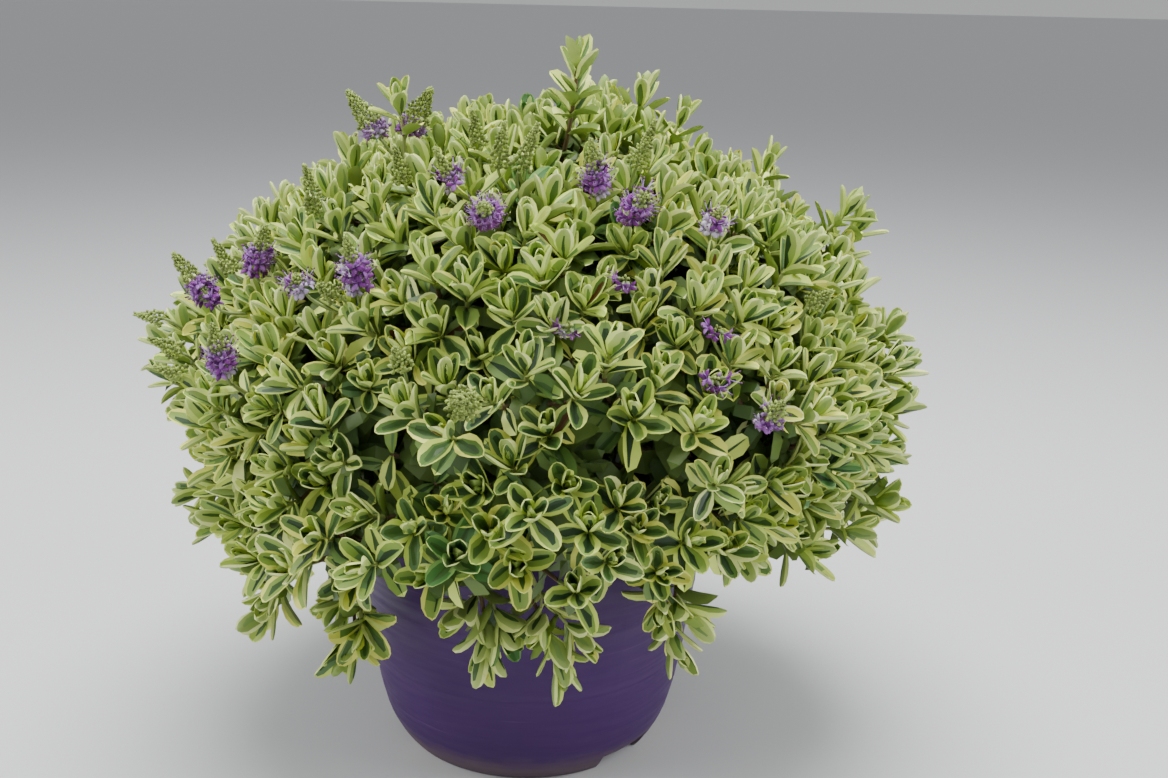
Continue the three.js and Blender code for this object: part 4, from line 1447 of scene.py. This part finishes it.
def grow_spikes(settings, crown):
    """Flower spikes: violet four-lobed flowers with two long stamens each below, green buds above."""
    _, shoots = lay_out_shoots(crown.shoots)
    buds, petals, stamens, stalks = Heap(), Heap(), Heap(), Heap()
    for spike in lay_out_spikes(shoots):
        add_tube(stalks, spike["stalk"], np.linspace(1.0, 0.8, len(spike["stalk"])), 5)
        add_tube(stalks, spike["line"], np.linspace(0.8, 0.4, len(spike["line"])), 5)
        set_flowers(spike, settings.spike_width / MM, buds, petals, stamens)
    bud = settings.bud_colour
    bud_finishes = finish_set(0.55, {
        "bud green": bud,
        "bud pale": shade(bud, 1.3),
        "bud deep": shade(bud, 0.66),
        "bud opening": tone(150, 112, 168),
        "calyx green": tone(124, 142, 92),
    })
    petal = settings.petal_colour
    petal_finishes = finish_set(0.5, {
        "petal violet": petal,
        "petal light": tone(164, 102, 188),
        "petal deep": shade(petal, 0.6),
    })
    petal_finishes += finish_set(0.6, {
        "petal faded": tone(176, 160, 190),
        "petal white": tone(212, 200, 220),
    })
    filament = plain_finish("filament lilac", tone(178, 140, 206), 0.5)
    anther = plain_finish("anther plum", tone(104, 66, 96), 0.6)
    made = [
        buds.build("flower_buds", bud_finishes),
        petals.build("flower_petals", petal_finishes),
        stamens.build("flower_stamens", [filament, anther]),
        stalks.build("flower_stalks", [plain_finish("stalk green", tone(132, 148, 88), 0.6)]),
    ]


def set_flowers(spike, foot_radius, buds, petals, stamens):
    """Open flowers up to the spike's share in flower, and closed buds that taper towards its tip."""
    line, seed, flowering = spike["line"], spike["seed"], spike["flowering"]
    along, across, over = frames_along(line)
    crowding = max(1.0, spike["girth"]) ** 1.6
    count = int(spike["length"] / (BUD_STEP / crowding))
    for i in range(count):
        t = (i + 0.5) / count
        k = min(len(line) - 2, int(t * (len(line) - 1)))
        share = t * (len(line) - 1) - k
        centre = line[k] * (1 - share) + line[k + 1] * share
        turn = GOLDEN_ANGLE * i + spread(seed + i * 0.3, 0.2)
        out = across[k] * math.cos(turn) + over[k] * math.sin(turn)
        draw = float(chance(seed * 3 + i * 1.3))
        if t < flowering:
            if i % round(3 * crowding) == 0:
                open_flower(petals, stamens, buds, centre, along[k], out, spike, seed + i)
            continue
        rest = (t - flowering) / (1 - flowering)
        radius = foot_radius * spike["girth"] * (1 - 0.78 * rest**1.3) * (0.8 + 0.36 * draw)
        way = unit(out * (0.85 - 0.35 * rest) + along[k] * (0.45 + 0.5 * rest))
        length = 2.9 - 1.1 * rest
        slot = int(draw * 3) if rest > 0.2 or flowering == 0 else 3
        depth = 0.35 + 0.65 * float(chance(seed + i * 2.3)) ** 0.4
        inset = max(0.3, (radius - length * 0.8) * depth)
        add_bud(buds, centre + out * inset, way, length, 1.12 - 0.4 * rest, slot)


def open_flower(petals, stamens, buds, centre, along, out, spike, seed):
    """One open flower on its short stalk, facing out and a little up the spike."""
    draw = float(chance(seed * 1.9))
    face = unit(out + along * (0.25 + 0.3 * draw))
    throat = centre + face * (3.8 + 1.4 * draw)
    add_bud(buds, centre + face * 1.0, face, 4.6, 1.1, 4)
    side = unit(np.cross(face, along))
    over = np.cross(side, face)
    faded = draw < spike["faded"]
    for lobe in range(4):
        turn = math.pi / 2 * lobe + 0.6 + spread(seed + lobe, 0.25)
        spoke = side * math.cos(turn) + over * math.sin(turn)
        way = unit(spoke + face * (0.35 + 0.25 * float(chance(seed + lobe * 0.3))))
        up = unit(face - way * float(face @ way))
        slot = 3 + int(draw * 20) % 2 if faded else int(3 * float(chance(seed * 2.1 + lobe)))
        add_petal(petals, throat, way, up, 4.0 + draw, 2.6, slot)
    for j in range(2):
        lean = side * (0.34 if j else -0.34) + over * 0.2
        add_stamen(stamens, throat - face, unit(face + lean), 5.2 + 2.2 * draw, seed + 5 * j)


# ---------- Studio ----------

FLOOR_HALF = 150.0
SURROUND = (0.88, 0.89, 0.9, 1.0)
SURROUND_STRENGTH = 0.52
CAMERA_ASIDE = 0.031
CAMERA_TILT = 16.3  # in degrees, down from the level, and round the way it looks
CAMERA_ROLL = 1.34
SENSOR_WIDTH = 36.0
FOCAL_LENGTH = 40.8082
LAMP_AIM = Vector((0, 0, 0.2))

# name, place, size, share of the overhead lamp's power
LAMPS = [
    ("overhead lamp", (0.0, 0.1, 1.8), 1.4, 1.0),
    ("left lamp", (-1.5, -0.4, 1.0), 1.1, 0.34),
    ("right lamp", (1.5, -0.3, 1.0), 1.1, 0.32),
    ("front lamp", (-0.3, -1.9, 1.2), 1.0, 0.03),
]


def set_studio(settings):
    """A plain pale floor, large soft lamps and the camera."""
    mesh = bpy.data.meshes.new("floor")
    corners = [(x * FLOOR_HALF, y * FLOOR_HALF, 0) for x, y in ((-1, -1), (1, -1), (1, 1), (-1, 1))]
    mesh.from_pydata(corners, [], [(0, 1, 2, 3)])
    mesh.materials.append(plain_finish("pale floor", settings.floor_colour, 0.7, 0.2))
    floor = bpy.data.objects.new("floor", mesh)
    bpy.context.scene.collection.objects.link(floor)
    world = bpy.data.worlds.new("soft surround")
    world.use_nodes = True
    background = world.node_tree.nodes["Background"]
    background.inputs["Color"].default_value = SURROUND
    background.inputs["Strength"].default_value = SURROUND_STRENGTH
    bpy.context.scene.world = world
    for name, place, size, share in LAMPS:
        light = bpy.data.lights.new(name, "AREA")
        light.shape = "DISK"
        light.size = size
        light.energy = settings.light * share
        lamp = bpy.data.objects.new(name, light)
        aim = (LAMP_AIM - Vector(place)).to_track_quat("-Z", "Y")
        lamp.matrix_world = Matrix.Translation(place) @ aim.to_matrix().to_4x4()
        bpy.context.scene.collection.objects.link(lamp)
    lens = bpy.data.cameras.new("camera")
    lens.sensor_width = SENSOR_WIDTH
    lens.lens = FOCAL_LENGTH
    camera = bpy.data.objects.new("camera", lens)
    tilt = Matrix.Rotation(math.radians(90 - CAMERA_TILT), 4, "X")
    roll = Matrix.Rotation(math.radians(CAMERA_ROLL), 4, "Z")
    place = Matrix.Translation((CAMERA_ASIDE, -settings.distance, settings.height))
    camera.matrix_world = place @ tilt @ roll
    bpy.context.scene.collection.objects.link(camera)
    bpy.context.scene.camera = camera


# ---------- Operators and panel ----------


class MouldPot(bpy.types.Operator):
    """Mould the pot, with its foot ring, drain notches and lip"""

    bl_idname = "shrub.mould_pot"
    bl_label = "Mould the pot"

    def execute(self, context):
        mould_pot(context.scene.shrub_pot)
        return {"FINISHED"}


class CrumbleSoil(bpy.types.Operator):
    """Fill the pot with crumbly compost"""

    bl_idname = "shrub.crumble_soil"
    bl_label = "Fill with compost"

    def execute(self, context):
        crumble_soil(context.scene.shrub_pot)
        return {"FINISHED"}


class GrowWood(bpy.types.Operator):
    """Grow the stem, the boughs and the branches"""

    bl_idname = "shrub.grow_wood"
    bl_label = "Grow the wood"

    def execute(self, context):
        grow_wood(context.scene.shrub_crown)
        return {"FINISHED"}


class GrowTwigs(bpy.types.Operator):
    """Grow the twigs and the green stems of the shoots"""

    bl_idname = "shrub.grow_twigs"
    bl_label = "Grow the twigs"

    def execute(self, context):
        grow_twigs(context.scene.shrub_crown)
        return {"FINISHED"}


class DressLeaves(bpy.types.Operator):
    """Set whorls of cream-edged leaves on every shoot"""

    bl_idname = "shrub.dress_leaves"
    bl_label = "Set the leaves"

    def execute(self, context):
        dress_with_leaves(context.scene.shrub_crown)
        return {"FINISHED"}


class GrowSpikes(bpy.types.Operator):
    """Grow the flower spikes with their buds and violet flowers"""

    bl_idname = "shrub.grow_spikes"
    bl_label = "Grow the flower spikes"

    def execute(self, context):
        grow_spikes(context.scene.shrub_flowers, context.scene.shrub_crown)
        return {"FINISHED"}


class SetStudio(bpy.types.Operator):
    """Set the floor, the soft lamps and the camera"""

    bl_idname = "shrub.set_studio"
    bl_label = "Set the studio"

    def execute(self, context):
        set_studio(context.scene.shrub_studio)
        return {"FINISHED"}


class ShrubPanel(bpy.types.Panel):
    """Sizes, colours and steps of the potted shrub"""

    bl_idname = "VIEW3D_PT_potted_shrub"
    bl_label = "Potted shrub"
    bl_space_type = "VIEW_3D"
    bl_region_type = "UI"
    bl_category = "Shrub"

    def draw(self, context):
        layout = self.layout
        for group in ("shrub_pot", "shrub_crown", "shrub_flowers", "shrub_studio"):
            settings = getattr(context.scene, group)
            box = layout.box()
            for name in settings.bl_rna.properties.keys():
                if name not in ("rna_type", "name"):
                    box.prop(settings, name)
        for step in STEPS:
            layout.operator(step.bl_idname)


STEPS = (MouldPot, CrumbleSoil, GrowWood, GrowTwigs, DressLeaves, GrowSpikes, SetStudio)
SETTINGS = {
    "shrub_pot": PotSettings,
    "shrub_crown": CrownSettings,
    "shrub_flowers": FlowerSettings,
    "shrub_studio": StudioSettings,
}


def register():
    for group in SETTINGS.values():
        bpy.utils.register_class(group)
    for name, group in SETTINGS.items():
        setattr(bpy.types.Scene, name, PointerProperty(type=group))
    for step in STEPS:
        bpy.utils.register_class(step)
    bpy.utils.register_class(ShrubPanel)


def unregister():
    bpy.utils.unregister_class(ShrubPanel)
    for step in reversed(STEPS):
        bpy.utils.unregister_class(step)
    for name, group in SETTINGS.items():
        delattr(bpy.types.Scene, name)
        bpy.utils.unregister_class(group)


def main():
    register()
    bpy.ops.shrub.mould_pot()
    bpy.ops.shrub.crumble_soil()
    bpy.ops.shrub.grow_wood()
    bpy.ops.shrub.grow_twigs()
    bpy.ops.shrub.dress_leaves()
    bpy.ops.shrub.grow_spikes()
    bpy.ops.shrub.set_studio()


if __name__ == "__main__":
    main()
